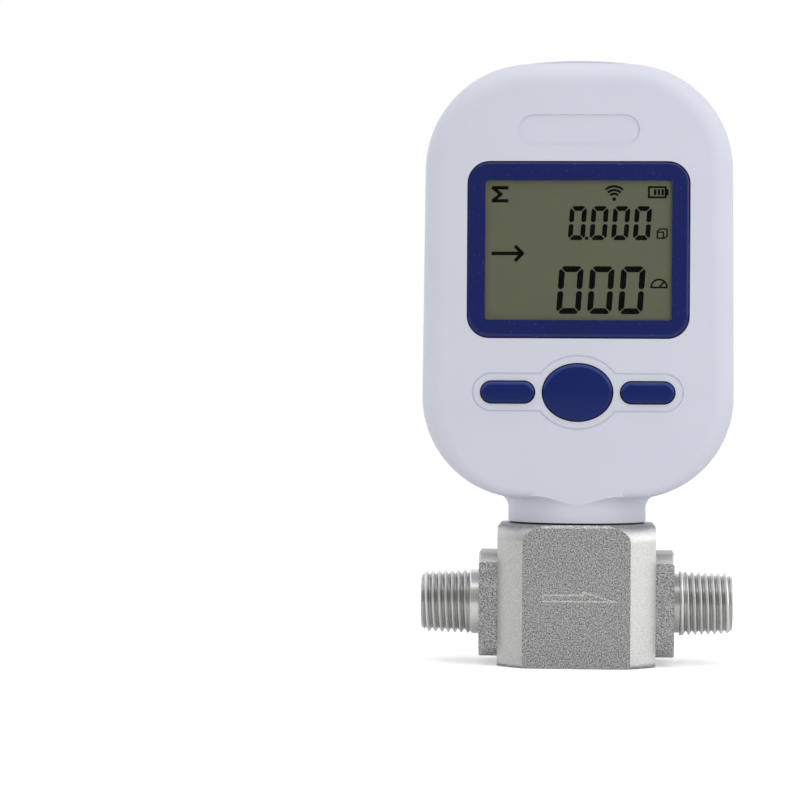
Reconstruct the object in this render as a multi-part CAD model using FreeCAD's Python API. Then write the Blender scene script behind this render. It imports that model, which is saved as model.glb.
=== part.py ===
import FreeCAD, Part
import math
import os

os.makedirs("parts", exist_ok=True)

V = FreeCAD.Vector

# Frame: origin at the centre of the metal body's underside.
# +X is the flow direction, -Y is the front, +Z is up. Millimetres.

# flow body
BODY_HALF = 17.1
BODY_TURN_R = 20.65
BODY_H = 30.7
BODY_TOP_R = 3.6
BODY_TOP_BREAK = 0.6
BODY_FOOT_R = 1.1
AXIS_Z = 13.2
CHANNEL_R = 4.0

# end fittings, quarter-inch tapered pipe thread
FLANGE_T = 4.0
FLANGE_HALF = 11.15
FLANGE_TURN_R = 14.46
FLANGE_EDGE = 0.4
FLANGE_OUT = BODY_HALF + FLANGE_T
THREAD_R = 6.8
THREAD_END = 33.9
THREAD_TIP = 1.0
INLET_COLLAR_R = 7.05
INLET_COLLAR_L = 1.7
OUTLET_COLLAR_R = 6.45
OUTLET_COLLAR_L = 1.3
OUTLET_RELIEF_R = 5.9
OUTLET_RELIEF_L = 0.7
SPIGOT_R = 7.0
SPIGOT_BORE_R = 7.05
SPIGOT_IN = BODY_HALF - 5.0
SCREW_PLAY = 0.2
FIT_SCREW_AT = 8.1
FIT_SCREW_R = 1.25
FIT_HEAD_R = 2.25
FIT_HEAD_H = 2.5
FIT_SCREW_L = 6.0

# O-rings at the fittings and flow screens
ORING_R = 8.0
ORING_SEC = 0.7
ORING_SEAT_R = 9.0
SCREEN_R = 6.9
SCREEN_T = 0.8
SCREEN_HOLE_R = 0.5
SCREEN_PITCH = 1.6

# flow sensor
POCKET_R = 5.9
POCKET_D = 5.0
CARRIER_R = 5.85
STEM_BORE_R = 4.5
STEM_R = 4.4
STEM_LOW = AXIS_Z + 4.2
STEM_GROOVE_R = 3.3
STEM_GROOVE_Z = AXIS_Z + 7.8
STEM_RING_SEC = 0.6
SENSE_W = 6.0
SENSE_T = 1.0
SENSE_LOW = AXIS_Z - 2.5
SENSE_TOP = BODY_H + 4.2
PLUG_W = 4.8
PLUG_T = 1.9
PLUG_H = 3.2
HARNESS_R = 0.85
HARNESS_BEND = 3.0
HARNESS_RISE = 5.0

# neck
NECK_R = 15.03
NECK_BORE_R = 12.9
GASKET_T = 0.4
NECK_Z = BODY_H + GASKET_T
RING_R = 12.6
RING_BASE_T = 2.6
RING_HOLE_R = 4.6
RING_WALL_R = 10.0
RING_GROOVE_R = 11.3
RING_TOP_Z = BODY_H + 5.2
RIB_R = 11.6
RIB_Z0 = BODY_H + 2.8
RIB_Z1 = BODY_H + 4.0
RING_SCREW_PCR = 7.5
RING_SCREW_R = 1.0
RING_SCREW_L = 6.0
RING_HEAD_R = 1.9
RING_HEAD_H = 1.6
BLEND_R = 2.8

# head outline, two corner circles and two shallow arcs
LOW_R = 22.0
LOW_CX = 11.55
LOW_CZ = NECK_Z + 27.3
LOW_TURN = 3.0
UP_R = 23.0
UP_CX = 10.15
UP_CZ = LOW_CZ + 48.75
UP_TURN = 2.0
CROWN_CZ = UP_CZ + 1.15
CROWN_TURN = 8.0
FACE_Y = -15.2
FACE_T = 2.5
WALL = 2.2
EDGE_R = 4.8
EDGE_LOW_R = 2.0
INNER_EDGE_R = 2.6
REAR_Y = 18.0
REAR_T = 2.6
REAR_EDGE_R = 5.0
FACE_IN = FACE_Y + FACE_T
REAR_IN = REAR_Y - REAR_T

# display window and panel
WIN_W = 47.6
WIN_H = 37.9
WIN_CZ = LOW_CZ + 31.4
WIN_R = 4.75
WIN_GAP = 0.1
WIN_PROUD = 0.25
WIN_T = 1.75
WIN_EDGE = 0.85
LCD_HOLE_W = WIN_W - 6.0
LCD_HOLE_H = WIN_H - 6.3
LCD_W = LCD_HOLE_W + 2.4
LCD_H = LCD_HOLE_H + 3.2
LCD_T = 2.3
GUIDE_T = 3.0
FRAME_W = LCD_W + 4.0
FRAME_H = LCD_H + 4.4
FRAME_GAP = 0.15

# shallow recess near the top of the face
RECESS_W = 26.0
RECESS_H = 6.5
RECESS_CZ = UP_CZ + 8.45
RECESS_D = 0.3

# keys
KEY_CZ = LOW_CZ + 0.8
KEY_CX = 15.0
KEY_W = 11.45
KEY_H = 4.55
KEY_MID_W = 14.9
KEY_MID_H = 12.2
KEY_GAP = 0.25
KEY_LIP = 0.6
KEY_LIP_T = 0.6
KEY_FREE = 0.2
KEY_TRAVEL = 0.8
KEY_PROUD = 1.0
KEY_EDGE = 0.75
KEY_DOME_R = 60.0
PAD_W = 45.4
PAD_H = 8.4
PAD_MID_W = 18.9
PAD_MID_H = 16.1
PAD_LINE = 0.35
PAD_LINE_D = 0.2

# circuit board
BOARD_HALF_W = FRAME_W / 2
BOARD_Z0 = LOW_CZ - 7.2
BOARD_Z1 = UP_CZ + 7.05
BOARD_T = 1.6
BOARD_Y = FACE_IN + LCD_T + GUIDE_T
BOARD_BACK = BOARD_Y + BOARD_T
BOARD_SCREW_X = BOARD_HALF_W - 2.5
BOARD_SCREW_ZS = (BOARD_Z0 + 2.2, BOARD_Z1 - 2.3)
BOARD_SCREW_R = 0.95
BOARD_SCREW_L = 5.0
BOARD_HEAD_R = 1.8
BOARD_HEAD_H = 1.3
BOARD_BOSS_R = 2.0
PORT_W = 8.0
PORT_H = 3.8
PORT_T = 3.0
PORT_DROP = 0.7
PORT_LOW = BOARD_Z0 + 0.4
# x, z from the window's centre, width, height, thickness
CHIPS = (
    (0.0, -11.8, 8.0, 8.0, 1.2),
    (-13.0, 8.2, 12.0, 16.0, 1.8),
    (10.5, 4.7, 5.0, 5.0, 1.4),
)
MAT_T = 1.0
MAT_W = 44.0
MAT_H = 6.4
MAT_MID_W = 18.0
MAT_MID_H = 13.2
MAT_DOME_R = 2.2

# shell screws
SHELL_SCREW_X = 24.0
SHELL_SCREW_ZS = (LOW_CZ - 10.8, UP_CZ + 10.65)
SHELL_SCREW_L = 15.0
FRONT_BOSS_R = 3.2
REAR_BOSS_R = 3.6
SHELL_SEAT_Y = 6.0
SHELL_SCREW_R = 1.25
SHELL_HEAD_R = 2.25
SHELL_HEAD_H = 2.4

# shell seal
SEAL_OUT = 0.8
SEAL_W = 0.7
SEAL_D = 0.8

# batteries and their bay
CELL_R = 7.25
CELL_L = 50.5
CELL_TIP_R = 2.6
CELL_TIP_L = 1.0
CELL_X = 7.75
CELL_Y = 7.6
BAY_HALF_W = 15.6
BAY_Z0 = LOW_CZ
STUD_L = 1.4
STUD_R = 2.4
PLATE_T = 0.8
PLATE_Y0 = 1.5
PLATE_Y1 = 12.5
LOWER_PLATE_W = 28.0
UPPER_PLATE_W = 12.0
CELL_Z0 = BAY_Z0 + PLATE_T + STUD_L
BAY_Z1 = CELL_Z0 + CELL_L + STUD_L + PLATE_T
BAY_Y0 = 0.0
BAY_WALL = 1.3
COVER_HALF_W = 18.4
COVER_Z0 = BAY_Z0 - 7.4
COVER_Z1 = BAY_Z1 + 3.1
COVER_T = 2.0
COVER_GAP = 0.1
COVER_SCREW_Z = COVER_Z0 + 3.4
COVER_SCREW_L = 8.0
COVER_HEAD_H = 1.2
TONGUE_HALF_W = 6.0
TONGUE_L = 2.0
TONGUE_T = 0.9
LEAD_X = 9.0
LEAD_Y = 3.0
LEAD_R = 0.6
LEAD_BEND = 1.6
LEAD_RISE = 3.2

# film antenna inside the top of the face
ANTENNA_W = 26.0
ANTENNA_H = 6.0
ANTENNA_T = 0.5
ANTENNA_Z0 = UP_CZ + 11.45


def box(x0, x1, y0, y1, z0, z1):
    return Part.makeBox(x1 - x0, y1 - y0, z1 - z0, V(x0, y0, z0))


def rod_x(r, x0, x1, y, z):
    return Part.makeCylinder(r, x1 - x0, V(x0, y, z), V(1, 0, 0))


def rod_y(r, y0, y1, x, z):
    return Part.makeCylinder(r, y1 - y0, V(x, y0, z), V(0, 1, 0))


def rod_z(r, z0, z1, x=0.0, y=0.0):
    return Part.makeCylinder(r, z1 - z0, V(x, y, z0), V(0, 0, 1))


def spun(points, base, axis):
    """Solid of revolution of a closed polygon about an axis."""
    loop = Part.makePolygon(points + [points[0]])
    return Part.Face(loop).revolve(base, axis, 360)


def rounded_plate(w, h, r, y0, y1, cz):
    """Plate with rounded corners, standing in the XZ plane."""
    plate = box(-w / 2, w / 2, y0, y1, cz - h / 2, cz + h / 2)
    edges = [e for e in plate.Edges if e.BoundBox.YLength > (y1 - y0) / 2]
    return plate.makeFillet(r, edges)


def stadium(w, h, y0, y1, cx, cz):
    r = h / 2
    a = w / 2 - r
    mid = box(cx - a, cx + a, y0, y1, cz - r, cz + r)
    ends = [rod_y(r, y0, y1, cx - a, cz), rod_y(r, y0, y1, cx + a, cz)]
    return mid.fuse(ends).removeSplitter()


def oval(w, h, y0, y1, cx, cz):
    curve = Part.Ellipse(V(cx + w / 2, y0, cz), V(cx, y0, cz + h / 2), V(cx, y0, cz))
    face = Part.Face(Part.Wire(curve.toShape()))
    return face.extrude(V(0, y1 - y0, 0))


def screw(shank_r, shank_l, head_r, head_h):
    """Cap screw pointing down, its head's seat at z = 0."""
    drive_r = head_r / 2
    body = rod_z(shank_r, -shank_l, 0)
    body = body.fuse(rod_z(head_r, 0, head_h)).removeSplitter()
    pts = []
    for k in range(7):
        a = math.radians(60 * k)
        pts.append(V(drive_r * math.cos(a), drive_r * math.sin(a), head_h * 0.4))
    drive = Part.Face(Part.makePolygon(pts)).extrude(V(0, 0, head_h))
    return body.cut(drive)


def placed(shape, at, direction):
    part = shape.copy()
    turn = FreeCAD.Rotation(V(0, 0, 1), direction)
    part.Placement = FreeCAD.Placement(at, turn)
    return part


def save(name, shape):
    shape.exportStep(os.path.join("parts", name + ".step"))


def polar(cx, cz, r, a):
    return V(cx + r * math.cos(a), 0, cz + r * math.sin(a))


def head_wire(inset, up_cz=UP_CZ, up_turn=UP_TURN):
    """Outline of the head in the parting plane, drawn in by inset."""
    low = LOW_R - inset
    up = UP_R - inset
    dx = UP_CX - LOW_CX
    dz = up_cz - LOW_CZ
    side = math.atan2(dz, dx) - math.acos((LOW_R - UP_R) / math.hypot(dx, dz))
    q = math.pi / 2
    lt = math.radians(LOW_TURN)
    ut = math.radians(up_turn)
    foot = low + LOW_CX / math.sin(lt)
    foot_z = LOW_CZ + (foot - low) * math.cos(lt)
    top = up + UP_CX / math.sin(ut)
    top_z = up_cz - (top - up) * math.cos(ut)
    arcs = [
        (0, foot_z, foot, -q - lt, -q + lt),
        (LOW_CX, LOW_CZ, low, -q + lt, side),
        (UP_CX, up_cz, up, side, q - ut),
        (0, top_z, top, q - ut, q + ut),
        (-UP_CX, up_cz, up, q + ut, math.pi - side),
        (-LOW_CX, LOW_CZ, low, math.pi - side, math.pi + q - lt),
    ]
    edges = []
    last = None
    for cx, cz, r, a0, a1 in arcs:
        start = polar(cx, cz, r, a0)
        if last is not None and start.distanceToPoint(last) > 1e-3:
            edges.append(Part.LineSegment(last, start).toShape())
        last = polar(cx, cz, r, a1)
        mid = polar(cx, cz, r, (a0 + a1) / 2)
        edges.append(Part.Arc(start, mid, last).toShape())
    return Part.Wire(edges)


def head_prism(wire, y0, y1):
    prism = Part.Face(wire).extrude(V(0, y1 - y0, 0))
    prism.translate(V(0, y0, 0))
    return prism


def edges_at_y(shape, y):
    found = []
    for e in shape.Edges:
        bb = e.BoundBox
        if abs(bb.YMin - y) < 1e-4 and abs(bb.YMax - y) < 1e-4:
            found.append(e)
    return found


def front_block():
    """Front half of the head, its edge rounding tighter along the bottom."""
    prism = head_prism(head_wire(0), FACE_Y, 0)
    doc = FreeCAD.newDocument("edge")
    base = doc.addObject("Part::Feature", "base")
    base.Shape = prism
    rows = []
    for i, e in enumerate(prism.Edges):
        bb = e.BoundBox
        if abs(bb.YMin - FACE_Y) > 1e-4 or abs(bb.YMax - FACE_Y) > 1e-4:
            continue
        r0 = EDGE_R
        r1 = EDGE_R
        if bb.ZMax < LOW_CZ - LOW_R / 2:
            r0 = EDGE_LOW_R
            r1 = EDGE_LOW_R
        elif bb.ZMax < LOW_CZ + 2:
            z0 = e.valueAt(e.FirstParameter).z
            z1 = e.valueAt(e.LastParameter).z
            r0 = EDGE_LOW_R if z0 < z1 else EDGE_R
            r1 = EDGE_R if z0 < z1 else EDGE_LOW_R
        rows.append((i + 1, r0, r1))
    edge = doc.addObject("Part::Fillet", "edge")
    edge.Base = base
    edge.Edges = rows
    doc.recompute()
    shape = edge.Shape.copy()
    FreeCAD.closeDocument(doc.Name)
    return shape


def seal_strip():
    """Flat strip between the shells, open where the neck passes."""
    outer = head_prism(head_wire(SEAL_OUT), 0, SEAL_D)
    inner = head_prism(head_wire(SEAL_OUT + SEAL_W), 0, SEAL_D)
    ring = outer.cut(inner)
    a = (NECK_BORE_R + NECK_R - SEAL_W) / 2
    low = NECK_Z + 0.6
    high = LOW_CZ - LOW_R + 2.0
    ring = ring.cut(box(-a, a, -1, SEAL_D + 1, low, high + 2))
    legs = []
    for s in (-1, 1):
        x0 = min(s * a, s * (a + SEAL_W))
        legs.append(box(x0, x0 + SEAL_W, 0, SEAL_D, low, high - 0.35))
    return ring.fuse(legs).removeSplitter()


def flow_body():
    t = BODY_TURN_R
    r = BODY_TOP_R
    f = BODY_FOOT_R
    k = math.sqrt(0.5)
    a = V(0, 0, 0)
    b = V(t - f, 0, 0)
    c = V(t, 0, f)
    d = V(t, 0, BODY_H - r)
    e = V(t - r, 0, BODY_H)
    g = V(0, 0, BODY_H)
    foot = V(t - f + f * k, 0, f - f * k)
    brow = V(t - r + r * k, 0, BODY_H - r + r * k)
    edges = [
        Part.LineSegment(a, b).toShape(),
        Part.Arc(b, foot, c).toShape(),
        Part.LineSegment(c, d).toShape(),
        Part.Arc(d, brow, e).toShape(),
        Part.LineSegment(e, g).toShape(),
        Part.LineSegment(g, a).toShape(),
    ]
    turned = Part.Face(Part.Wire(edges)).revolve(V(0, 0, 0), V(0, 0, 1), 360)
    square = box(-BODY_HALF, BODY_HALF, -BODY_HALF, BODY_HALF, 0, BODY_H)
    rim = [e for e in square.Edges if e.BoundBox.ZMin > BODY_H - 0.1]
    body = turned.common(square.makeChamfer(BODY_TOP_BREAK, rim))
    cuts = [rod_x(CHANNEL_R, -BODY_HALF, BODY_HALF, 0, AXIS_Z)]
    cuts.append(rod_z(POCKET_R, BODY_H - POCKET_D, BODY_H + 1))
    cuts.append(rod_z(STEM_BORE_R, AXIS_Z, BODY_H))
    for s in (-1, 1):
        x0 = s * (SPIGOT_IN - SCREEN_T)
        x1 = s * (BODY_HALF + 1)
        cuts.append(rod_x(SPIGOT_BORE_R, min(x0, x1), max(x0, x1), 0, AXIS_Z))
        x0 = s * (BODY_HALF - 2 * ORING_SEC)
        cuts.append(rod_x(ORING_SEAT_R, min(x0, x1), max(x0, x1), 0, AXIS_Z))
        for y, z in fitting_screw_points():
            x0 = s * (FLANGE_OUT - FIT_HEAD_H - FIT_SCREW_L - 0.3)
            cuts.append(rod_x(FIT_SCREW_R, min(x0, x1), max(x0, x1), y, z))
    for x, y in ring_screw_points():
        z0 = BODY_H + RING_BASE_T - RING_SCREW_L - 0.3
        cuts.append(rod_z(RING_SCREW_R, z0, BODY_H + 1, x, y))
    for cut in cuts:
        body = body.cut(cut)
    return body


def fitting_screw_points():
    a = FIT_SCREW_AT
    return [(-a, AXIS_Z - a), (a, AXIS_Z - a), (-a, AXIS_Z + a), (a, AXIS_Z + a)]


def ring_screw_points():
    a = RING_SCREW_PCR * math.sqrt(0.5)
    return [(-a, -a), (a, -a), (-a, a), (a, a)]


def fitting(collar):
    """Flanged end with its threaded stub, built along +X."""
    flange = box(BODY_HALF, FLANGE_OUT, -FLANGE_HALF, FLANGE_HALF,
                 AXIS_Z - FLANGE_HALF, AXIS_Z + FLANGE_HALF)
    e = FLANGE_EDGE
    r = FLANGE_TURN_R
    turn = spun([V(BODY_HALF, 0, AXIS_Z), V(BODY_HALF, 0, AXIS_Z + r),
                 V(FLANGE_OUT - e, 0, AXIS_Z + r), V(FLANGE_OUT, 0, AXIS_Z + r - e),
                 V(FLANGE_OUT, 0, AXIS_Z)], V(0, 0, AXIS_Z), V(1, 0, 0))
    flange = flange.common(turn)
    stub = collar.fuse(rod_x(SPIGOT_R, SPIGOT_IN, BODY_HALF, 0, AXIS_Z))
    body = flange.fuse(stub).removeSplitter()
    body = body.cut(rod_x(CHANNEL_R, 0, THREAD_END + 1, 0, AXIS_Z))
    for y, z in fitting_screw_points():
        r = FIT_SCREW_R + SCREW_PLAY
        body = body.cut(rod_x(r, BODY_HALF - 1, FLANGE_OUT + 1, y, z))
        seat = FLANGE_OUT - FIT_HEAD_H
        r = FIT_HEAD_R + SCREW_PLAY
        body = body.cut(rod_x(r, seat, FLANGE_OUT + 1, y, z))
    return body


def thread_stub(steps):
    """Revolved stub from (x, r) steps, thread envelope and chamfered tip."""
    pts = [V(BODY_HALF, 0, AXIS_Z)]
    for x, r in steps:
        pts.append(V(x, 0, AXIS_Z + r))
    pts.append(V(THREAD_END - THREAD_TIP, 0, AXIS_Z + THREAD_R))
    pts.append(V(THREAD_END, 0, AXIS_Z + THREAD_R - THREAD_TIP))
    pts.append(V(THREAD_END, 0, AXIS_Z))
    return spun(pts, V(0, 0, AXIS_Z), V(1, 0, 0))


def inlet_fitting():
    c = FLANGE_OUT + INLET_COLLAR_L
    steps = [(BODY_HALF, INLET_COLLAR_R), (c, INLET_COLLAR_R), (c, THREAD_R)]
    part = fitting(thread_stub(steps))
    part.rotate(V(0, 0, 0), V(0, 0, 1), 180)
    return part


def outlet_fitting():
    c = FLANGE_OUT + OUTLET_COLLAR_L
    d = c + OUTLET_RELIEF_L
    steps = [(BODY_HALF, OUTLET_COLLAR_R), (c, OUTLET_COLLAR_R),
             (c, OUTLET_RELIEF_R), (d, OUTLET_RELIEF_R), (d, THREAD_R)]
    return fitting(thread_stub(steps))


def fitting_screws():
    one = screw(FIT_SCREW_R, FIT_SCREW_L, FIT_HEAD_R, FIT_HEAD_H)
    out = []
    for s in (-1, 1):
        for y, z in fitting_screw_points():
            at = V(s * (FLANGE_OUT - FIT_HEAD_H), y, z)
            out.append(placed(one, at, V(s, 0, 0)))
    return Part.makeCompound(out)


def fitting_o_ring(s):
    x = s * (BODY_HALF - ORING_SEC)
    return Part.makeTorus(ORING_R, ORING_SEC, V(x, 0, AXIS_Z), V(1, 0, 0))


def flow_screen(s):
    x0 = SPIGOT_IN - SCREEN_T
    disc = rod_x(SCREEN_R, x0, SPIGOT_IN, 0, AXIS_Z)
    p = SCREEN_PITCH
    for i in range(-2, 3):
        for j in range(-2, 3):
            y = (i + 0.5 * j) * p
            z = j * p * math.sqrt(0.75)
            if math.hypot(y, z) < 2 * p + 0.1:
                hole = rod_x(SCREEN_HOLE_R, x0 - 1, SPIGOT_IN + 1, y, AXIS_Z + z)
                disc = disc.cut(hole)
    if s < 0:
        disc.rotate(V(0, 0, 0), V(0, 0, 1), 180)
    return disc


def sensor_carrier():
    top = BODY_H
    part = rod_z(CARRIER_R, BODY_H - POCKET_D, top)
    part = part.fuse(rod_z(STEM_R, STEM_LOW, BODY_H - POCKET_D)).removeSplitter()
    z0 = STEM_GROOVE_Z - STEM_RING_SEC
    z1 = STEM_GROOVE_Z + STEM_RING_SEC
    groove = rod_z(STEM_R + 1, z0, z1).cut(rod_z(STEM_GROOVE_R, z0, z1))
    part = part.cut(groove)
    slot = box(-SENSE_W / 2, SENSE_W / 2, -SENSE_T / 2, SENSE_T / 2, 0, top + 1)
    return part.cut(slot)


def sensor_o_ring():
    r = (STEM_GROOVE_R + STEM_BORE_R) / 2
    return Part.makeTorus(r, STEM_RING_SEC, V(0, 0, STEM_GROOVE_Z), V(0, 0, 1))


def sensor_board():
    """Blade with the sensing chip in the stream and a plug at the top."""
    t = SENSE_T / 2
    blade = box(-SENSE_W / 2, SENSE_W / 2, -t, t, SENSE_LOW, SENSE_TOP)
    chip = box(-1.0, 1.0, -t - 0.4, -t, AXIS_Z - 1.0, AXIS_Z + 1.0)
    plug = box(-PLUG_W / 2, PLUG_W / 2, -t - PLUG_T, -t, SENSE_TOP - PLUG_H, SENSE_TOP)
    return blade.fuse([chip, plug]).removeSplitter()


def neck_ring():
    ring = rod_z(RING_R, BODY_H, RING_TOP_Z)
    z0 = BODY_H + RING_BASE_T
    ring = ring.cut(rod_z(RING_WALL_R, z0, RING_TOP_Z + 1))
    ring = ring.cut(rod_z(RING_HOLE_R, BODY_H - 1, z0 + 1))
    groove = rod_z(RING_R + 1, RIB_Z0 - 0.2, RIB_Z1).cut(
        rod_z(RING_GROOVE_R, RIB_Z0 - 0.2, RIB_Z1))
    ring = ring.cut(groove)
    for x, y in ring_screw_points():
        ring = ring.cut(rod_z(RING_SCREW_R + SCREW_PLAY, BODY_H - 1, z0 + 1, x, y))
    return ring


def neck_ring_screws():
    one = screw(RING_SCREW_R, RING_SCREW_L, RING_HEAD_R, RING_HEAD_H)
    z = BODY_H + RING_BASE_T
    out = []
    for x, y in ring_screw_points():
        out.append(placed(one, V(x, y, z), V(0, 0, 1)))
    return Part.makeCompound(out)


def neck_gasket():
    outer = rod_z(NECK_R - 0.4, BODY_H, NECK_Z)
    return outer.cut(rod_z(RING_R + 0.1, BODY_H, NECK_Z))


def neck_blend(s, top):
    """Ring that rounds the corner between neck and head.

    It is trimmed level with the face in front, and dies out at the back."""
    r = BLEND_R
    k = math.sqrt(0.5)
    z1 = LOW_CZ - LOW_R + 0.5
    a = V(NECK_R - 0.8, 0, z1 - r)
    b = V(NECK_R, 0, z1 - r)
    mid = V(NECK_R + r - r * k, 0, z1 - r + r * k)
    c = V(NECK_R + r, 0, z1)
    d = V(NECK_R + r, 0, z1 + r)
    e = V(NECK_R - 0.8, 0, top)
    edges = [
        Part.LineSegment(a, b).toShape(),
        Part.Arc(b, mid, c).toShape(),
        Part.LineSegment(c, d).toShape(),
        Part.LineSegment(d, e).toShape(),
        Part.LineSegment(e, a).toShape(),
    ]
    ring = Part.Face(Part.Wire(edges)).revolve(V(0, 0, 0), V(0, 0, 1), 360)
    if s < 0:
        return ring.common(box(-2 * NECK_R, 2 * NECK_R, FACE_Y, 0, 0, top))
    curve = Part.Ellipse(V(NECK_R + r, 0, 0), V(0, -FACE_Y, 0), V(0, 0, 0))
    oval_rod = Part.Face(Part.Wire(curve.toShape())).extrude(V(0, 0, top))
    return ring.common(oval_rod)


def half_neck(s):
    """Half of the neck tube with the rib that grips the ring."""
    w = UP_R + UP_CX
    half = box(-w, w, min(0, s * w), max(0, s * w), 0, LOW_CZ)
    top = LOW_CZ - LOW_R + 3.0
    tube = rod_z(NECK_R, NECK_Z, top)
    return tube.fuse(neck_blend(s, top)).common(half)


def neck_hollow():
    """Inside of the neck: bore with the rib left standing."""
    low = rod_z(NECK_BORE_R, NECK_Z - 1, RIB_Z0)
    rib = rod_z(RIB_R, RIB_Z0 - 1, RIB_Z1 + 1)
    high = rod_z(NECK_BORE_R, RIB_Z1, LOW_CZ - LOW_R + 6.0)
    return low.fuse([rib, high]).removeSplitter()


def key_hole(w, h, cx, kind):
    return kind(w + 2 * KEY_GAP, h + 2 * KEY_GAP, FACE_Y - 2, FACE_IN + 1, cx, KEY_CZ)


def keypad_line():
    """Fine line pressed into the face around the three keys."""
    y0 = FACE_Y - 1
    y1 = FACE_Y + PAD_LINE_D
    wide = stadium(PAD_W, PAD_H, y0, y1, 0, KEY_CZ)
    mid = oval(PAD_MID_W, PAD_MID_H, y0, y1, 0, KEY_CZ)
    outer = wide.fuse(mid)
    n = 2 * PAD_LINE
    wide = stadium(PAD_W - n, PAD_H - n, y0 - 1, y1 + 1, 0, KEY_CZ)
    mid = oval(PAD_MID_W - n, PAD_MID_H - n, y0 - 1, y1 + 1, 0, KEY_CZ)
    return outer.cut(wide).cut(mid)


def front_shell():
    inner = head_prism(head_wire(WALL), FACE_IN, 0)
    inner = inner.makeFillet(INNER_EDGE_R, edges_at_y(inner, FACE_IN))
    shell = front_block().fuse(half_neck(-1)).removeSplitter()
    shell = shell.cut(inner).cut(neck_hollow())
    bosses = []
    for z in SHELL_SCREW_ZS:
        for s in (-1, 1):
            x = s * SHELL_SCREW_X
            bosses.append(rod_y(FRONT_BOSS_R, FACE_IN - 0.5, 0, x, z))
    for z in BOARD_SCREW_ZS:
        for s in (-1, 1):
            x = s * BOARD_SCREW_X
            bosses.append(rod_y(BOARD_BOSS_R, FACE_IN - 0.5, BOARD_Y, x, z))
    shell = shell.fuse(bosses).removeSplitter()
    for z in SHELL_SCREW_ZS:
        for s in (-1, 1):
            y0 = SHELL_SEAT_Y - SHELL_SCREW_L - 0.5
            hole = rod_y(SHELL_SCREW_R, y0, 1, s * SHELL_SCREW_X, z)
            shell = shell.cut(hole)
    for z in BOARD_SCREW_ZS:
        for s in (-1, 1):
            y0 = BOARD_BACK - BOARD_SCREW_L - 0.2
            hole = rod_y(BOARD_SCREW_R, y0, 0, s * BOARD_SCREW_X, z)
            shell = shell.cut(hole)
    g = 2 * WIN_GAP
    seat = FACE_Y - WIN_PROUD + WIN_T
    shell = shell.cut(rounded_plate(WIN_W + g, WIN_H + g, WIN_R + WIN_GAP,
                                    FACE_Y - 2, seat, WIN_CZ))
    shell = shell.cut(box(-LCD_HOLE_W / 2, LCD_HOLE_W / 2, FACE_Y - 1, FACE_IN + 1,
                          WIN_CZ - LCD_HOLE_H / 2, WIN_CZ + LCD_HOLE_H / 2))
    shell = shell.cut(key_hole(KEY_W, KEY_H, -KEY_CX, stadium))
    shell = shell.cut(key_hole(KEY_W, KEY_H, KEY_CX, stadium))
    shell = shell.cut(key_hole(KEY_MID_W, KEY_MID_H, 0, oval))
    shell = shell.cut(stadium(RECESS_W, RECESS_H, FACE_Y - 1, FACE_Y + RECESS_D,
                              0, RECESS_CZ))
    return shell.cut(keypad_line())


def rear_shell():
    wire = head_wire(0, CROWN_CZ, CROWN_TURN)
    block = head_prism(wire, 0, REAR_Y)
    block = block.makeFillet(REAR_EDGE_R, edges_at_y(block, REAR_Y))
    inner = head_prism(head_wire(WALL), 0, REAR_IN)
    inner = inner.makeFillet(INNER_EDGE_R, edges_at_y(inner, REAR_IN))
    shell = block.fuse(half_neck(1)).removeSplitter()
    shell = shell.cut(inner).cut(neck_hollow())
    adds = []
    for z in SHELL_SCREW_ZS:
        for s in (-1, 1):
            adds.append(rod_y(REAR_BOSS_R, 0, REAR_IN + 0.5, s * SHELL_SCREW_X, z))
    w = BAY_WALL
    adds.append(box(-BAY_HALF_W - w, BAY_HALF_W + w, BAY_Y0 - w, REAR_IN + 0.5,
                    BAY_Z0 - w, BAY_Z1 + w))
    adds.append(rod_y(FRONT_BOSS_R, SHELL_SEAT_Y, REAR_IN + 0.5, 0, COVER_SCREW_Z))
    shell = shell.fuse(adds).removeSplitter()
    floor = REAR_Y - COVER_T
    g = COVER_GAP
    cuts = [box(-BAY_HALF_W, BAY_HALF_W, BAY_Y0, REAR_Y + 1, BAY_Z0, BAY_Z1)]
    cuts.append(box(-COVER_HALF_W - g, COVER_HALF_W + g, floor, REAR_Y + 1,
                    COVER_Z0 - g, COVER_Z1 + g))
    cuts.append(box(-TONGUE_HALF_W - g, TONGUE_HALF_W + g, floor,
                    floor + TONGUE_T + g, COVER_Z1, COVER_Z1 + TONGUE_L + g))
    y0 = REAR_Y - COVER_HEAD_H - COVER_SCREW_L - 0.5
    cuts.append(rod_y(SHELL_SCREW_R, y0, REAR_Y, 0, COVER_SCREW_Z))
    for z in SHELL_SCREW_ZS:
        for s in (-1, 1):
            x = s * SHELL_SCREW_X
            cuts.append(rod_y(SHELL_SCREW_R + SCREW_PLAY, -1, SHELL_SEAT_Y + 1, x, z))
            cuts.append(rod_y(SHELL_HEAD_R + SCREW_PLAY, SHELL_SEAT_Y, REAR_Y + 1, x, z))
    for x in (-LEAD_X, LEAD_X):
        r = LEAD_R + SCREW_PLAY
        cuts.append(rod_z(r, BAY_Z1 - 1, BAY_Z1 + BAY_WALL + 1, x, LEAD_Y))
    cuts.append(seal_strip())
    for cut in cuts:
        shell = shell.cut(cut)
    return shell


def shell_screws():
    one = screw(SHELL_SCREW_R, SHELL_SCREW_L, SHELL_HEAD_R, SHELL_HEAD_H)
    out = []
    for z in SHELL_SCREW_ZS:
        for s in (-1, 1):
            out.append(placed(one, V(s * SHELL_SCREW_X, SHELL_SEAT_Y, z), V(0, 1, 0)))
    return Part.makeCompound(out)


def display_window():
    y0 = FACE_Y - WIN_PROUD
    pane = rounded_plate(WIN_W, WIN_H, WIN_R, y0, y0 + WIN_T, WIN_CZ)
    return pane.makeFillet(WIN_EDGE, edges_at_y(pane, y0))


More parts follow.
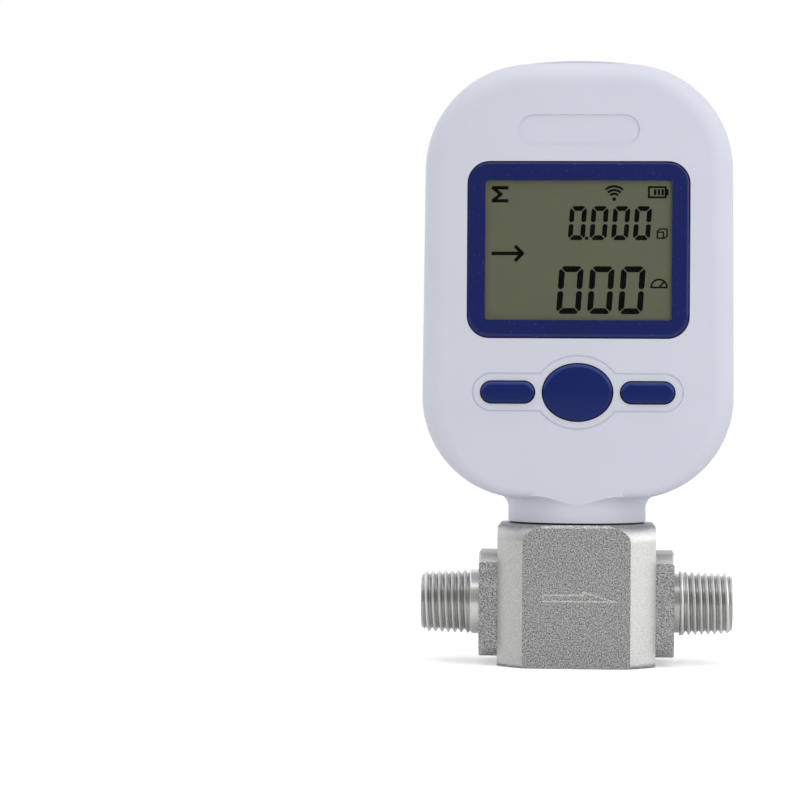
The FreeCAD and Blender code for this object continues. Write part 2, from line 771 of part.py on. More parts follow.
def lcd_panel():
    h = LCD_H / 2
    return box(-LCD_W / 2, LCD_W / 2, FACE_IN, FACE_IN + LCD_T, WIN_CZ - h, WIN_CZ + h)


def light_guide():
    h = LCD_H / 2
    y0 = FACE_IN + LCD_T
    return box(-LCD_W / 2, LCD_W / 2, y0, BOARD_Y, WIN_CZ - h, WIN_CZ + h)


def lcd_frame():
    frame = box(-FRAME_W / 2, FRAME_W / 2, FACE_IN, BOARD_Y,
                WIN_CZ - FRAME_H / 2, WIN_CZ + FRAME_H / 2)
    w = LCD_W / 2 + FRAME_GAP
    h = LCD_H / 2 + FRAME_GAP
    return frame.cut(box(-w, w, FACE_IN - 1, BOARD_Y + 1, WIN_CZ - h, WIN_CZ + h))


def main_board():
    y0 = BOARD_Y
    y1 = BOARD_BACK
    w = PORT_W / 2
    port_z = BAY_Z1 - PORT_DROP
    board = box(-BOARD_HALF_W, BOARD_HALF_W, y0, y1, BOARD_Z0, BOARD_Z1)
    ports = [box(-w, w, y1, y1 + PORT_T, PORT_LOW, PORT_LOW + PORT_H)]
    for x in (-LEAD_X, LEAD_X):
        ports.append(box(x - w, x + w, y1, y1 + PORT_T, port_z - PORT_H, port_z))
    chips = []
    for x, z, wide, high, thick in CHIPS:
        z += WIN_CZ
        chips.append(box(x - wide / 2, x + wide / 2, y1, y1 + thick,
                         z - high / 2, z + high / 2))
    board = board.fuse(ports + chips).removeSplitter()
    for z in BOARD_SCREW_ZS:
        for s in (-1, 1):
            board = board.cut(rod_y(1.1, y0 - 1, y1 + 1, s * BOARD_SCREW_X, z))
    return board


def board_screws():
    one = screw(BOARD_SCREW_R, BOARD_SCREW_L, BOARD_HEAD_R, BOARD_HEAD_H)
    out = []
    for z in BOARD_SCREW_ZS:
        for s in (-1, 1):
            out.append(placed(one, V(s * BOARD_SCREW_X, BOARD_BACK, z), V(0, 1, 0)))
    return Part.makeCompound(out)


def keypad_mat():
    y0 = BOARD_Y - MAT_T
    w = MAT_W / 2
    h = MAT_H / 2
    mat = box(-w, w, y0, BOARD_Y, KEY_CZ - h, KEY_CZ + h)
    w = MAT_MID_W / 2
    h = MAT_MID_H / 2
    mat = mat.fuse(box(-w, w, y0, BOARD_Y, KEY_CZ - h, KEY_CZ + h))
    tip = FACE_IN + KEY_FREE + KEY_LIP_T + KEY_TRAVEL + KEY_FREE
    for x in (-KEY_CX, 0, KEY_CX):
        mat = mat.fuse(rod_y(MAT_DOME_R, tip, y0, x, KEY_CZ))
    return mat.removeSplitter()


def key_cap(kind, w, h, cx):
    """Domed key with the lip that holds it behind the face."""
    y0 = FACE_Y - KEY_PROUD
    lip = FACE_IN + KEY_FREE
    crown = Part.makeSphere(KEY_DOME_R, V(cx, y0 + KEY_DOME_R, KEY_CZ))
    cap = kind(w, h, y0 - 1, lip, cx, KEY_CZ).common(crown)
    rim = [e for e in cap.Edges if e.BoundBox.YMax < FACE_Y]
    cap = cap.makeFillet(KEY_EDGE, rim)
    n = 2 * KEY_LIP
    return cap.fuse(kind(w + n, h + n, lip, lip + KEY_LIP_T, cx, KEY_CZ))


def battery_cover():
    floor = REAR_Y - COVER_T
    lid = box(-COVER_HALF_W, COVER_HALF_W, floor, REAR_Y, COVER_Z0, COVER_Z1)
    tongue = box(-TONGUE_HALF_W, TONGUE_HALF_W, floor, floor + TONGUE_T,
                 COVER_Z1, COVER_Z1 + TONGUE_L)
    lid = lid.fuse(tongue).removeSplitter()
    r = SHELL_SCREW_R + SCREW_PLAY
    lid = lid.cut(rod_y(r, floor - 1, REAR_Y + 1, 0, COVER_SCREW_Z))
    r = SHELL_HEAD_R + SCREW_PLAY
    return lid.cut(rod_y(r, REAR_Y - COVER_HEAD_H, REAR_Y + 1, 0, COVER_SCREW_Z))


def cover_screw():
    one = screw(SHELL_SCREW_R, COVER_SCREW_L, SHELL_HEAD_R, COVER_HEAD_H - 0.1)
    return placed(one, V(0, REAR_Y - COVER_HEAD_H, COVER_SCREW_Z), V(0, 1, 0))


def batteries():
    out = []
    for s in (-1, 1):
        body = rod_z(CELL_R, 0, CELL_L - CELL_TIP_L)
        tip = rod_z(CELL_TIP_R, CELL_L - CELL_TIP_L, CELL_L)
        cell = body.fuse(tip).removeSplitter()
        if s > 0:
            cell.rotate(V(0, 0, CELL_L / 2), V(0, 1, 0), 180)
        cell.translate(V(s * CELL_X, CELL_Y, CELL_Z0))
        out.append(cell)
    return Part.makeCompound(out)


def lower_contact():
    w = LOWER_PLATE_W / 2
    plate = box(-w, w, PLATE_Y0, PLATE_Y1, BAY_Z0, BAY_Z0 + PLATE_T)
    studs = []
    for s in (-1, 1):
        studs.append(rod_z(STUD_R, BAY_Z0 + PLATE_T, CELL_Z0, s * CELL_X, CELL_Y))
    return plate.fuse(studs).removeSplitter()


def upper_contacts():
    out = []
    top = CELL_Z0 + CELL_L
    for s in (-1, 1):
        x = s * CELL_X
        w = UPPER_PLATE_W / 2
        plate = box(x - w, x + w, PLATE_Y0, PLATE_Y1, BAY_Z1 - PLATE_T, BAY_Z1)
        stud = rod_z(STUD_R, top, BAY_Z1 - PLATE_T, x, CELL_Y)
        out.append(plate.fuse(stud).removeSplitter())
    return Part.makeCompound(out)


def bent_lead(points, r, bend):
    """Round lead along straight stretches joined by arcs of one bend."""
    edges = []
    last = points[0]
    for a, b, c in zip(points, points[1:], points[2:]):
        u = (a - b).normalize()
        v = (c - b).normalize()
        half = u.getAngle(v) / 2
        cut = bend / math.tan(half)
        start = b + u * cut
        end = b + v * cut
        out = (u + v).normalize()
        mid = b + out * (bend / math.sin(half) - bend)
        edges.append(Part.LineSegment(last, start).toShape())
        edges.append(Part.Arc(start, mid, end).toShape())
        last = end
    edges.append(Part.LineSegment(last, points[-1]).toShape())
    ring = Part.Circle(points[0], points[1] - points[0], r).toShape()
    return Part.Wire(edges).makePipeShell([Part.Wire(ring)], True, False)


def sensor_harness():
    """Lead from the sensor's plug up the neck to the board."""
    y = -SENSE_T / 2 - PLUG_T / 2
    end_y = BOARD_BACK + PORT_T / 2
    pts = [V(0, y, SENSE_TOP), V(0, y, SENSE_TOP + HARNESS_RISE),
           V(0, end_y, PORT_LOW - HARNESS_RISE), V(0, end_y, PORT_LOW)]
    return bent_lead(pts, HARNESS_R, HARNESS_BEND)


def battery_leads():
    y = BOARD_BACK + PORT_T / 2
    top = BAY_Z1 + LEAD_RISE
    out = []
    for x in (-LEAD_X, LEAD_X):
        pts = [V(x, LEAD_Y, BAY_Z1), V(x, LEAD_Y, top), V(x, y, top),
               V(x, y, BAY_Z1 - PORT_DROP)]
        out.append(bent_lead(pts, LEAD_R, LEAD_BEND))
    return Part.makeCompound(out)


def antenna():
    w = ANTENNA_W / 2
    return box(-w, w, FACE_IN, FACE_IN + ANTENNA_T, ANTENNA_Z0, ANTENNA_Z0 + ANTENNA_H)


def main():
    save("flow_body", flow_body())
    save("inlet_fitting", inlet_fitting())
    save("outlet_fitting", outlet_fitting())
    save("fitting_screws", fitting_screws())
    save("inlet_o_ring", fitting_o_ring(-1))
    save("outlet_o_ring", fitting_o_ring(1))
    save("inlet_screen", flow_screen(-1))
    save("outlet_screen", flow_screen(1))
    save("sensor_carrier", sensor_carrier())
    save("sensor_o_ring", sensor_o_ring())
    save("sensor_board", sensor_board())
    save("sensor_harness", sensor_harness())
    save("neck_ring", neck_ring())
    save("neck_ring_screws", neck_ring_screws())
    save("neck_gasket", neck_gasket())
    save("front_shell", front_shell())
    save("rear_shell", rear_shell())
    save("shell_seal", seal_strip())
    save("shell_screws", shell_screws())
    save("display_window", display_window())
    save("lcd_panel", lcd_panel())
    save("light_guide", light_guide())
    save("lcd_frame", lcd_frame())
    save("main_board", main_board())
    save("board_screws", board_screws())
    save("keypad_mat", keypad_mat())
    save("key_left", key_cap(stadium, KEY_W, KEY_H, -KEY_CX))
    save("key_center", key_cap(oval, KEY_MID_W, KEY_MID_H, 0.0))
    save("key_right", key_cap(stadium, KEY_W, KEY_H, KEY_CX))
    save("battery_cover", battery_cover())
    save("cover_screw", cover_screw())
    save("batteries", batteries())
    save("lower_contact", lower_contact())
    save("upper_contacts", upper_contacts())
    save("battery_leads", battery_leads())
    save("antenna", antenna())


main()
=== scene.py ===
import math

import bmesh
import bpy
from mathutils import Matrix, Vector


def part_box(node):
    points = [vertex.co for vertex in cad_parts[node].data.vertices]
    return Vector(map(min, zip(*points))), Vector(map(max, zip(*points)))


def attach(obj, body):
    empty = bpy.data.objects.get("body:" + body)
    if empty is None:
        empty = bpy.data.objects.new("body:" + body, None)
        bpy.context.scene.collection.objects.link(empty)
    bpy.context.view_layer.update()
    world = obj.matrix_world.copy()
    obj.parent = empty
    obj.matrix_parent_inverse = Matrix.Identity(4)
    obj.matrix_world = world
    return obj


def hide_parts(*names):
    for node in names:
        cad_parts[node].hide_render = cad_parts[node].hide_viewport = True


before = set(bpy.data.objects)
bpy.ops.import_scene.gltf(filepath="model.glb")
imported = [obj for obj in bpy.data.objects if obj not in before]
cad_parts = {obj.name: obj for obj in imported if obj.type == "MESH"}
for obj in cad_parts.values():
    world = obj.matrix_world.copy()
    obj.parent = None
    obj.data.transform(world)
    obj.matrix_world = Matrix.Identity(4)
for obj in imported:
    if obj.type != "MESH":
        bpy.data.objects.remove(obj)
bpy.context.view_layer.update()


# The block that the gas runs through: stainless steel bar, turned round at
# its corners, milled to four flats and bead-blasted, which leaves a coarse
# grain on the flats and a soft one on the corners.

MM = 0.001
body_low, body_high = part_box("flow_body")
BODY_FRONT = body_low[1]
BODY_SIDE = body_high[0]
BODY_TOP = body_high[2]


def linear(hex_colour):
    """sRGB hex to the linear colour a shader takes."""
    out = []
    for i in (0, 2, 4):
        c = int(hex_colour[i:i + 2], 16) / 255
        out.append(c / 12.92 if c <= 0.04045 else ((c + 0.055) / 1.055) ** 2.4)
    return (*out, 1.0)


def add(material, kind, settings=None, links=None):
    """One node in a material or world, with its settings and what feeds it.

    Stops are the two ends of a colour ramp, each a place and a hex colour. A
    node that feeds it does so from its first output."""
    tree = material.node_tree
    made = tree.nodes.new(kind)
    for key, value in (settings or {}).items():
        if key == "stops":
            for end, (at, hex_colour) in zip(made.color_ramp.elements, value):
                end.position = at
                end.color = linear(hex_colour)
        elif isinstance(key, int) or key in made.inputs:
            made.inputs[key].default_value = value
        else:
            setattr(made, key, value)
    for key, source in (links or {}).items():
        if isinstance(source, bpy.types.Node):
            source = source.outputs[0]
        tree.links.new(source, made.inputs[key])
    return made


def blank(name):
    """A new material without nodes."""
    material = bpy.data.materials.new(name)
    material.use_nodes = True
    material.node_tree.nodes.clear()
    return material


def begun(name):
    """A new material, and its node for places and slopes on the piece."""
    material = blank(name)
    return material, add(material, "ShaderNodeTexCoord")


def close(material, surface):
    """Ends a material at its shader."""
    add(material, "ShaderNodeOutputMaterial", links={"Surface": surface})
    return material


def coat(material, *names):
    """Gives CAD nodes their finish."""
    for name in names:
        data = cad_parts[name].data
        data.materials.clear()
        data.materials.append(material)


def bead_blasted_stainless_steel():
    # The beads leave dimples of about 0.15 mm, drawn at 0.28 mm so that they
    # show: a grey that sparkles. On the turned corners, which they strike at
    # a slant, the grain is softer and the metal stays paler. Slopes that face
    # down and the edge along the top of each flat are painted the darker grey
    # of the flats, as painted shade.
    dimple = 0.28 * MM
    edge_foot = BODY_TOP - 2.0 * MM
    edge_brow = BODY_TOP - 1.2 * MM
    material, place = begun("bead_blasted_stainless_steel")
    # The sum of the fourth powers of the normal is 1 on a milled face only.
    square = add(material, "ShaderNodeVectorMath", {"operation": "MULTIPLY"},
                 {0: place.outputs["Normal"], 1: place.outputs["Normal"]})
    fourth = add(material, "ShaderNodeVectorMath", {"operation": "DOT_PRODUCT"},
                 {0: square, 1: square})
    flat = add(material, "ShaderNodeMapRange", {"From Min": 0.97, "From Max": 0.995},
               {"Value": fourth.outputs["Value"]})
    # That edge leans back by 45 degrees, without a turn to the side.
    squares = add(material, "ShaderNodeSeparateXYZ", links={"Vector": square})
    turned = add(material, "ShaderNodeMath", {"operation": "MULTIPLY"},
                 {0: squares.outputs["X"], 1: squares.outputs["Y"]})
    straight = add(material, "ShaderNodeMapRange",
                   {"From Min": 0.03, "From Max": 0.0},
                   {"Value": turned})
    leaning = add(material, "ShaderNodeMapRange",
                  {"From Min": 0.2, "From Max": 0.4, "To Max": 0.85},
                  {"Value": squares.outputs["Z"]})
    places = add(material, "ShaderNodeSeparateXYZ",
                 links={"Vector": place.outputs["Object"]})
    high = add(material, "ShaderNodeMapRange",
               {"From Min": edge_foot, "From Max": edge_brow},
               {"Value": places.outputs["Z"]})
    edge = add(material, "ShaderNodeMath", {"operation": "MULTIPLY"},
               {0: straight, 1: leaning})
    # Painted shade: the edge along the top of each flat takes the flats' darker grey.
    shaded_top_edge = add(material, "ShaderNodeMath", {"operation": "MULTIPLY"},
                   {0: edge, 1: high})
    leans = add(material, "ShaderNodeSeparateXYZ",
                links={"Vector": place.outputs["Normal"]})
    # Painted shade: slopes that face down take the flats' darker grey.
    shaded_underside = add(material, "ShaderNodeMapRange", {"From Min": -0.3, "From Max": -0.6},
                {"Value": leans.outputs["Z"]})
    painted_shade_slopes = add(material, "ShaderNodeMath", {"operation": "MAXIMUM"},
                 {0: shaded_underside, 1: shaded_top_edge})
    # The flats' own coarse grey, and painted shade on the slopes.
    coarse_or_painted_shade = add(material, "ShaderNodeMath", {"operation": "MAXIMUM"},
                 {0: flat, 1: painted_shade_slopes})
    coarse = add(material, "ShaderNodeTexNoise",
                 {"Scale": 1 / dimple, "Detail": 2.0, "Roughness": 0.65},
                 {"Vector": place.outputs["Object"]})
    grey = add(material, "ShaderNodeValToRGB",
               {"stops": ((0.35, "626262"), (0.65, "E0E0DF"))},
               {"Fac": coarse})
    pale = add(material, "ShaderNodeValToRGB",
               {"stops": ((0.3, "BEBEBC"), (0.7, "E0E0DF"))},
               {"Fac": coarse})
    tone = add(material, "ShaderNodeMix", {"data_type": "RGBA"},
               {0: coarse_or_painted_shade, 6: pale, 7: grey})
    relief = add(material, "ShaderNodeMapRange", {"To Min": 0.12, "To Max": 0.8},
                 {"Value": flat})
    bump = add(material, "ShaderNodeBump", {"Distance": 0.1 * MM},
               {"Height": coarse, "Strength": relief})
    surface = add(material, "ShaderNodeBsdfPrincipled",
                  {"Metallic": 1.0, "Roughness": 0.42},
                  {"Base Color": tone.outputs[2], "Normal": bump})
    return close(material, surface)


blasted = bead_blasted_stainless_steel()
coat(blasted, "flow_body")


# The flow direction, an outline marked by laser on the front of the body.
# The beam frosts the steel a paler, duller grey. The mark has next to no
# depth, so it is drawn as a skin on the metal.

ARROW_LINE = 0.32 * MM
ARROW_TAIL = -7.35 * MM
ARROW_NECK = 1.25 * MM
ARROW_TIP = 9.05 * MM
ARROW_LOW = 14.3 * MM
ARROW_HIGH = 15.95 * MM
ARROW_BARB = 16.7 * MM
SKIN = 0.02 * MM
# The least that one plus the cosine of a corner's turn is taken as, so that
# no sharp corner is drawn in too far.
SHARPEST = 0.05


def inset(loop, d):
    """A closed outline drawn inwards by d, corner by corner."""
    out = []
    n = len(loop)
    for i in range(n):
        before, corner, after = (Vector(loop[(i + k - 1) % n]) for k in range(3))
        u = (corner - before).normalized()
        v = (after - corner).normalized()
        inwards = Vector((-u.y - v.y, u.x + v.x))
        out.append(tuple(corner + inwards * (d / max(1 + u.dot(v), SHARPEST))))
    return out


def mesh_from(bm, name, *materials):
    """The mesh that bm holds, its faces turned outwards."""
    bmesh.ops.recalc_face_normals(bm, faces=bm.faces)
    mesh = bpy.data.meshes.new(name)
    bm.to_mesh(mesh)
    bm.free()
    for material in materials:
        mesh.materials.append(material)
    return mesh


def placed(name, data):
    """A new object in the scene."""
    made = bpy.data.objects.new(name, data)
    bpy.context.collection.objects.link(made)
    return made


def skin(name, rings, y, thick, material):
    """Flat marks standing on the plane y, facing the front.

    Each ring is one outline, or an outline and its hole, anticlockwise as
    seen from the front."""
    bm = bmesh.new()
    for ring in rings:
        n = len(ring[0])
        front, back = [[[bm.verts.new((p[0], depth, p[1])) for p in loop]
                        for loop in ring] for depth in (y - thick, y)]
        for j in range(len(ring)):
            for i in range(n):
                k = (i + 1) % n
                quad = [front[j][i], back[j][i], back[j][k], front[j][k]]
                bm.faces.new(quad if j == 0 else quad[::-1])
        if len(ring) == 1:
            bm.faces.new(front[0])
            bm.faces.new(back[0][::-1])
        else:
            for i in range(n):
                k = (i + 1) % n
                bm.faces.new([front[0][i], front[0][k], front[1][k], front[1][i]])
                bm.faces.new([back[0][k], back[0][i], back[1][i], back[1][k]])
    return placed(name, mesh_from(bm, name, material))


arrow_loop = [(ARROW_TAIL, ARROW_LOW), (ARROW_TIP, ARROW_LOW),
              (ARROW_NECK, ARROW_BARB), (ARROW_NECK, ARROW_HIGH),
              (ARROW_TAIL, ARROW_HIGH)]


def laser_frosted_steel():
    # Oxide left by the beam in dots of 0.05 mm, drawn at 0.3 mm so that they
    # show: a dull pale line, broken up like the blasted ground.
    dot = 0.3 * MM
    material, place = begun("laser_frosted_steel")
    dots = add(material, "ShaderNodeTexNoise", {"Scale": 1 / dot, "Detail": 1.0},
               {"Vector": place.outputs["Object"]})
    tone = add(material, "ShaderNodeValToRGB",
               {"stops": ((0.35, "AAAAA8"), (0.6, "DADAD8"))},
               {"Fac": dots})
    surface = add(material, "ShaderNodeBsdfPrincipled",
                  {"Metallic": 0.3, "Roughness": 0.75},
                  {"Base Color": tone})
    return close(material, surface)


arrow = skin("flow_arrow", [[arrow_loop, inset(arrow_loop, ARROW_LINE)]],
             BODY_FRONT, SKIN, laser_frosted_steel())
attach(arrow, "housing")


# A square flange with a stub at each side of the body, turned and milled
# from the same stainless bar. The flange is blasted like the body. The
# quarter-inch tapered pipe thread is cut afterwards and stays bright.

AXIS_Z = 13.2 * MM
BORE_R = 4.0 * MM
FLANGE_T = 4.0 * MM
FLANGE_OUT = BODY_SIDE + FLANGE_T
# Eighteen threads an inch, and a taper of 1 in 16 on the diameter.
PITCH = 25.4 / 18 * MM
TAPER = 1 / 32
THREAD_DEPTH = 0.86 * MM
# Shares of half a pitch: the flat of the crest, and the flank. The flat of
# the root takes the rest.
CREST_FLAT = 0.12
FLANK = 0.74
RUN_OUT = 0.7 * PITCH
CREST_SMALL = 6.68 * MM
THREAD_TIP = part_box("outlet_fitting")[1][0]
TIP_CHAMFER = 1.15 * MM
TIP_SLOPE = 0.85
# Where each thread begins, and where its first crest stands at the top.
INLET_START = 22.85 * MM
INLET_CREST = 24.5 * MM
OUTLET_START = 22.9 * MM
OUTLET_CREST = 23.9 * MM
# The threaded sleeve reaches this far into the fitting that carries it.
SLEEVE_LAP = 0.4 * MM
AROUND = 120
STEPS_A_PITCH = 14
# Enough to part two planes, and too little to see.
HAIR = 0.01 * MM
# A wave texture of scale 1 repeats at this distance.
WAVE = math.tau / 20


def machined_stainless_steel():
    # The tool leaves rings 0.1 mm apart round the stub, drawn at 0.35 mm so
    # that they show as faint streaks. The crests are bright, and painted shade
    # darkens the metal towards the roots.
    feed = 0.35 * MM
    material, place = begun("machined_stainless_steel")
    rings = add(material, "ShaderNodeTexWave",
                {"bands_direction": "X", "Scale": WAVE / feed, "Distortion": 0.6,
                 "Detail": 1.0},
                {"Vector": place.outputs["Object"]})
    # The depth of a point below the cone that the crests lie on.
    spoke = add(material, "ShaderNodeVectorMath",
                {"operation": "MULTIPLY_ADD", 1: (0.0, 1.0, 1.0),
                 2: (0.0, 0.0, -AXIS_Z)},
                {0: place.outputs["Object"]})
    radius = add(material, "ShaderNodeVectorMath", {"operation": "LENGTH"},
                 {0: spoke})
    axes = add(material, "ShaderNodeSeparateXYZ",
               links={"Vector": place.outputs["Object"]})
    along = add(material, "ShaderNodeMath", {"operation": "ABSOLUTE"},
                {0: axes.outputs["X"]})
    crest = add(material, "ShaderNodeMath",
                {"operation": "MULTIPLY_ADD", 1: -TAPER,
                 2: CREST_SMALL + THREAD_TIP * TAPER},
                {0: along})
    below = add(material, "ShaderNodeMath", {"operation": "SUBTRACT"},
                {0: crest, 1: radius.outputs["Value"]})
    depth = add(material, "ShaderNodeMapRange", {"From Max": THREAD_DEPTH},
                {"Value": below})
    # Painted shade: the colour darkens with depth below the crests, towards the
    # roots.
    painted_root_shade = add(material, "ShaderNodeValToRGB",
                {"stops": ((0.25, "E8E8E6"), (0.95, "B6B6B5"))},
                {"Fac": depth})
    faint = add(material, "ShaderNodeMapRange", {"To Min": 0.88},
                {"Value": rings.outputs["Fac"]})
    tone = add(material, "ShaderNodeVectorMath", {"operation": "SCALE"},
               {0: painted_root_shade, "Scale": faint})
    gloss = add(material, "ShaderNodeMapRange", {"To Min": 0.24, "To Max": 0.32},
                {"Value": rings.outputs["Fac"]})
    bump = add(material, "ShaderNodeBump", {"Strength": 0.05, "Distance": 0.02 * MM},
               {"Height": rings.outputs["Fac"]})
    surface = add(material, "ShaderNodeBsdfPrincipled", {"Metallic": 1.0},
                  {"Base Color": tone, "Roughness": gloss, "Normal": bump})
    return close(material, surface)


machined = machined_stainless_steel()


def thread_radius(x, turn, crest_at, start):
    """Radius of the cut thread at x from the body's middle, at one angle."""
    crest = CREST_SMALL + (THREAD_TIP - x) * TAPER
    off_crest = ((x - crest_at) / PITCH - turn) % 1.0
    off_crest = min(off_crest, 1 - off_crest) * 2
    depth = THREAD_DEPTH * min(1.0, max(0.0, (off_crest - CREST_FLAT) / FLANK))
    fade = min(1.0, max(0.0, (x - start) / RUN_OUT))
    r = crest - depth * fade
    end = THREAD_TIP - x
    if end < TIP_CHAMFER:
        r = min(r, CREST_SMALL - (TIP_CHAMFER - end) * TIP_SLOPE)
    return r


def round_row(bm, x, radii):
    """A ring of points about the bore's axis, from the front by way of the top."""
    row = []
    for j, r in enumerate(radii):
        a = math.tau * j / AROUND
        row.append(bm.verts.new((x, -r * math.cos(a), AXIS_Z + r * math.sin(a))))
    return row


def thread_mesh(bm, side, start, crest_at, slot):
    """Closed sleeve to one side, 1 or -1: thread outside, plain bore inside."""
    steps = int((THREAD_TIP - start) / PITCH * STEPS_A_PITCH)
    xs = [start - SLEEVE_LAP] + [start + (THREAD_TIP - start) * i / steps
                                 for i in range(steps + 1)]
    # Turns are counted from the top, and the thread falls towards the front.
    turns = [(0.25 - j / AROUND) * side for j in range(AROUND)]
    rows = []
    for x in xs:
        radii = [thread_radius(max(x, start), turn, crest_at, start)
                 for turn in turns]
        rows.append(round_row(bm, side * x, radii))
    for x in (xs[-1], xs[0]):
        rows.append(round_row(bm, side * x, [BORE_R] * AROUND))
    rows.append(rows[0])
    for low, high in zip(rows, rows[1:]):
        for j in range(AROUND):
            k = (j + 1) % AROUND
            face = bm.faces.new([low[j], low[k], high[k], high[j]])
            face.material_index = slot
            face.smooth = True


def threaded_fitting(node, side, start, crest_at):
    """The CAD fitting cut off where its thread begins, and the real thread."""
    bm = bmesh.new()
    bm.from_mesh(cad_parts[node].data)
    cut = bmesh.ops.bisect_plane(
        bm, geom=bm.verts[:] + bm.edges[:] + bm.faces[:],
        plane_co=(side * start, 0, 0), plane_no=(side, 0, 0), clear_outer=True)
    rim = [e for e in cut["geom_cut"] if isinstance(e, bmesh.types.BMEdge)]
    bmesh.ops.triangle_fill(bm, use_beauty=True, edges=rim)
    for face in bm.faces:
        past = side * face.calc_center_median().x > FLANGE_OUT + HAIR
        face.material_index = 1 if past else 0
    thread_mesh(bm, side, start, crest_at, 1)
    name = node + "_threaded"
    made = placed(name, mesh_from(bm, name, blasted, machined))
    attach(made, "housing")
    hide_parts(node)


threaded_fitting("inlet_fitting", -1, INLET_START, INLET_CREST)
threaded_fitting("outlet_fitting", 1, OUTLET_START, OUTLET_CREST)


# Four stainless cap screws hold each flange, and an O-ring and a drilled
# screen lie between it and the body. The screws are cold-headed, the screens
# etched from sheet, and the rings moulded in nitrile rubber.


def cold_headed_stainless_steel():
    # Tumbled after heading, which leaves a satin sheen with faint clouds of
    # about 1 mm.
    cloud = 1.0 * MM
    material, place = begun("cold_headed_stainless_steel")
    clouds = add(material, "ShaderNodeTexNoise", {"Scale": 1 / cloud, "Detail": 3.0},
                 {"Vector": place.outputs["Object"]})
    tone = add(material, "ShaderNodeValToRGB",
               {"stops": ((0.3, "ADADAC"), (0.7, "C6C6C4"))},
               {"Fac": clouds})
    gloss = add(material, "ShaderNodeMapRange", {"To Min": 0.22, "To Max": 0.38},
                {"Value": clouds})
    surface = add(material, "ShaderNodeBsdfPrincipled", {"Metallic": 1.0},
                  {"Base Color": tone, "Roughness": gloss})
    return close(material, surface)


def etched_stainless_sheet():
    # Acid leaves the rolled sheet matt, with a bite of about 0.3 mm.
    bite = 0.3 * MM
    material, place = begun("etched_stainless_sheet")
    bites = add(material, "ShaderNodeTexNoise", {"Scale": 1 / bite, "Detail": 2.0},
                {"Vector": place.outputs["Object"]})
    bump = add(material, "ShaderNodeBump", {"Strength": 0.4, "Distance": 0.03 * MM},
               {"Height": bites})
    surface = add(material, "ShaderNodeBsdfPrincipled",
                  {"Base Color": linear("A9A9A7"), "Metallic": 1.0,
                   "Roughness": 0.45},
                  {"Normal": bump})
    return close(material, surface)


def moulded_nitrile_rubber():
    # Carbon black rubber, matt from the mould, with a pale bloom in patches
    # of about 2 mm.
    patch = 2.0 * MM
    material, place = begun("moulded_nitrile_rubber")
    bloom = add(material, "ShaderNodeTexNoise", {"Scale": 1 / patch, "Detail": 4.0},
                {"Vector": place.outputs["Object"]})
    tone = add(material, "ShaderNodeValToRGB",
               {"stops": ((0.4, "121212"), (0.75, "242423"))},
               {"Fac": bloom})
    surface = add(material, "ShaderNodeBsdfPrincipled", {"Roughness": 0.62},
                  {"Base Color": tone})
    return close(material, surface)


screw_steel = cold_headed_stainless_steel()
nitrile = moulded_nitrile_rubber()
coat(screw_steel, "fitting_screws")
coat(etched_stainless_sheet(), "inlet_screen", "outlet_screen")
coat(nitrile, "inlet_o_ring", "outlet_o_ring")


# A turned plastic plug in the body carries a thin board whose tip stands in
# the stream. Its O-ring seals the bore, and its lead goes up the neck.


def turned_peek():
    # Tan and waxy, with the lathe's rings 0.2 mm apart.
    feed = 0.2 * MM
    material, place = begun("turned_peek")
    rings = add(material, "ShaderNodeTexWave",
                {"bands_direction": "Z", "Scale": WAVE / feed, "Distortion": 0.4},
                {"Vector": place.outputs["Object"]})
    tone = add(material, "ShaderNodeValToRGB",
               {"stops": ((0.0, "97835F"), (1.0, "A8946F"))},
               {"Fac": rings.outputs["Fac"]})
    surface = add(material, "ShaderNodeBsdfPrincipled",
                  {"Roughness": 0.42, "IOR": 1.65},
                  {"Base Color": tone})
    return close(material, surface)


def solder_masked_glass_epoxy():
    # Green lacquer over copper: the tracks, 0.3 mm wide on a grid of about
    # 1.2 mm by 6 mm, show as a paler green through it.
    row = 1.2 * MM
    run = 6.0 * MM
    track = 0.3 * MM
    material, place = begun("solder_masked_glass_epoxy")
    # The texture's X and Y run along the board's X and Z.
    upright = add(material, "ShaderNodeMapping",
                  {"Rotation": (math.radians(-90), 0.0, 0.0)},
                  {"Vector": place.outputs["Object"]})
    tracks = add(material, "ShaderNodeTexBrick",
                 {"Scale": 1.0, "Color1": linear("17502F"),
                  "Color2": linear("1B5734"), "Mortar": linear("2C7A4A"),
                  "Mortar Size": track / 2, "Mortar Smooth": 0.1, "Brick Width": run,
                  "Row Height": row},
                 {"Vector": upright})
    surface = add(material, "ShaderNodeBsdfPrincipled", {"Roughness": 0.3},
                  {"Base Color": tracks})
    return close(material, surface)


def extruded_pvc_jacket(name, hex_dark, hex_pale):
    # Drawn through a die, which leaves a smooth satin skin, a little cloudy
    # over about 3 mm.
    cloud = 3.0 * MM
    material, place = begun(name)
    clouds = add(material, "ShaderNodeTexNoise", {"Scale": 1 / cloud, "Detail": 2.0},
                 {"Vector": place.outputs["Object"]})
    tone = add(material, "ShaderNodeValToRGB",
               {"stops": ((0.35, hex_dark), (0.65, hex_pale))},
               {"Fac": clouds})
    surface = add(material, "ShaderNodeBsdfPrincipled",
                  {"Roughness": 0.42, "IOR": 1.53},
                  {"Base Color": tone})
    return close(material, surface)


board_green = solder_masked_glass_epoxy()
coat(turned_peek(), "sensor_carrier")
coat(nitrile, "sensor_o_ring")
coat(board_green, "sensor_board")
coat(extruded_pvc_jacket("black_pvc_jacket", "131313", "1B1B1B"), "sensor_harness")


# A turned aluminium ring, screwed to the body, is gripped by the two halves
# of the neck. A thin rubber gasket under them shows as a dark line.


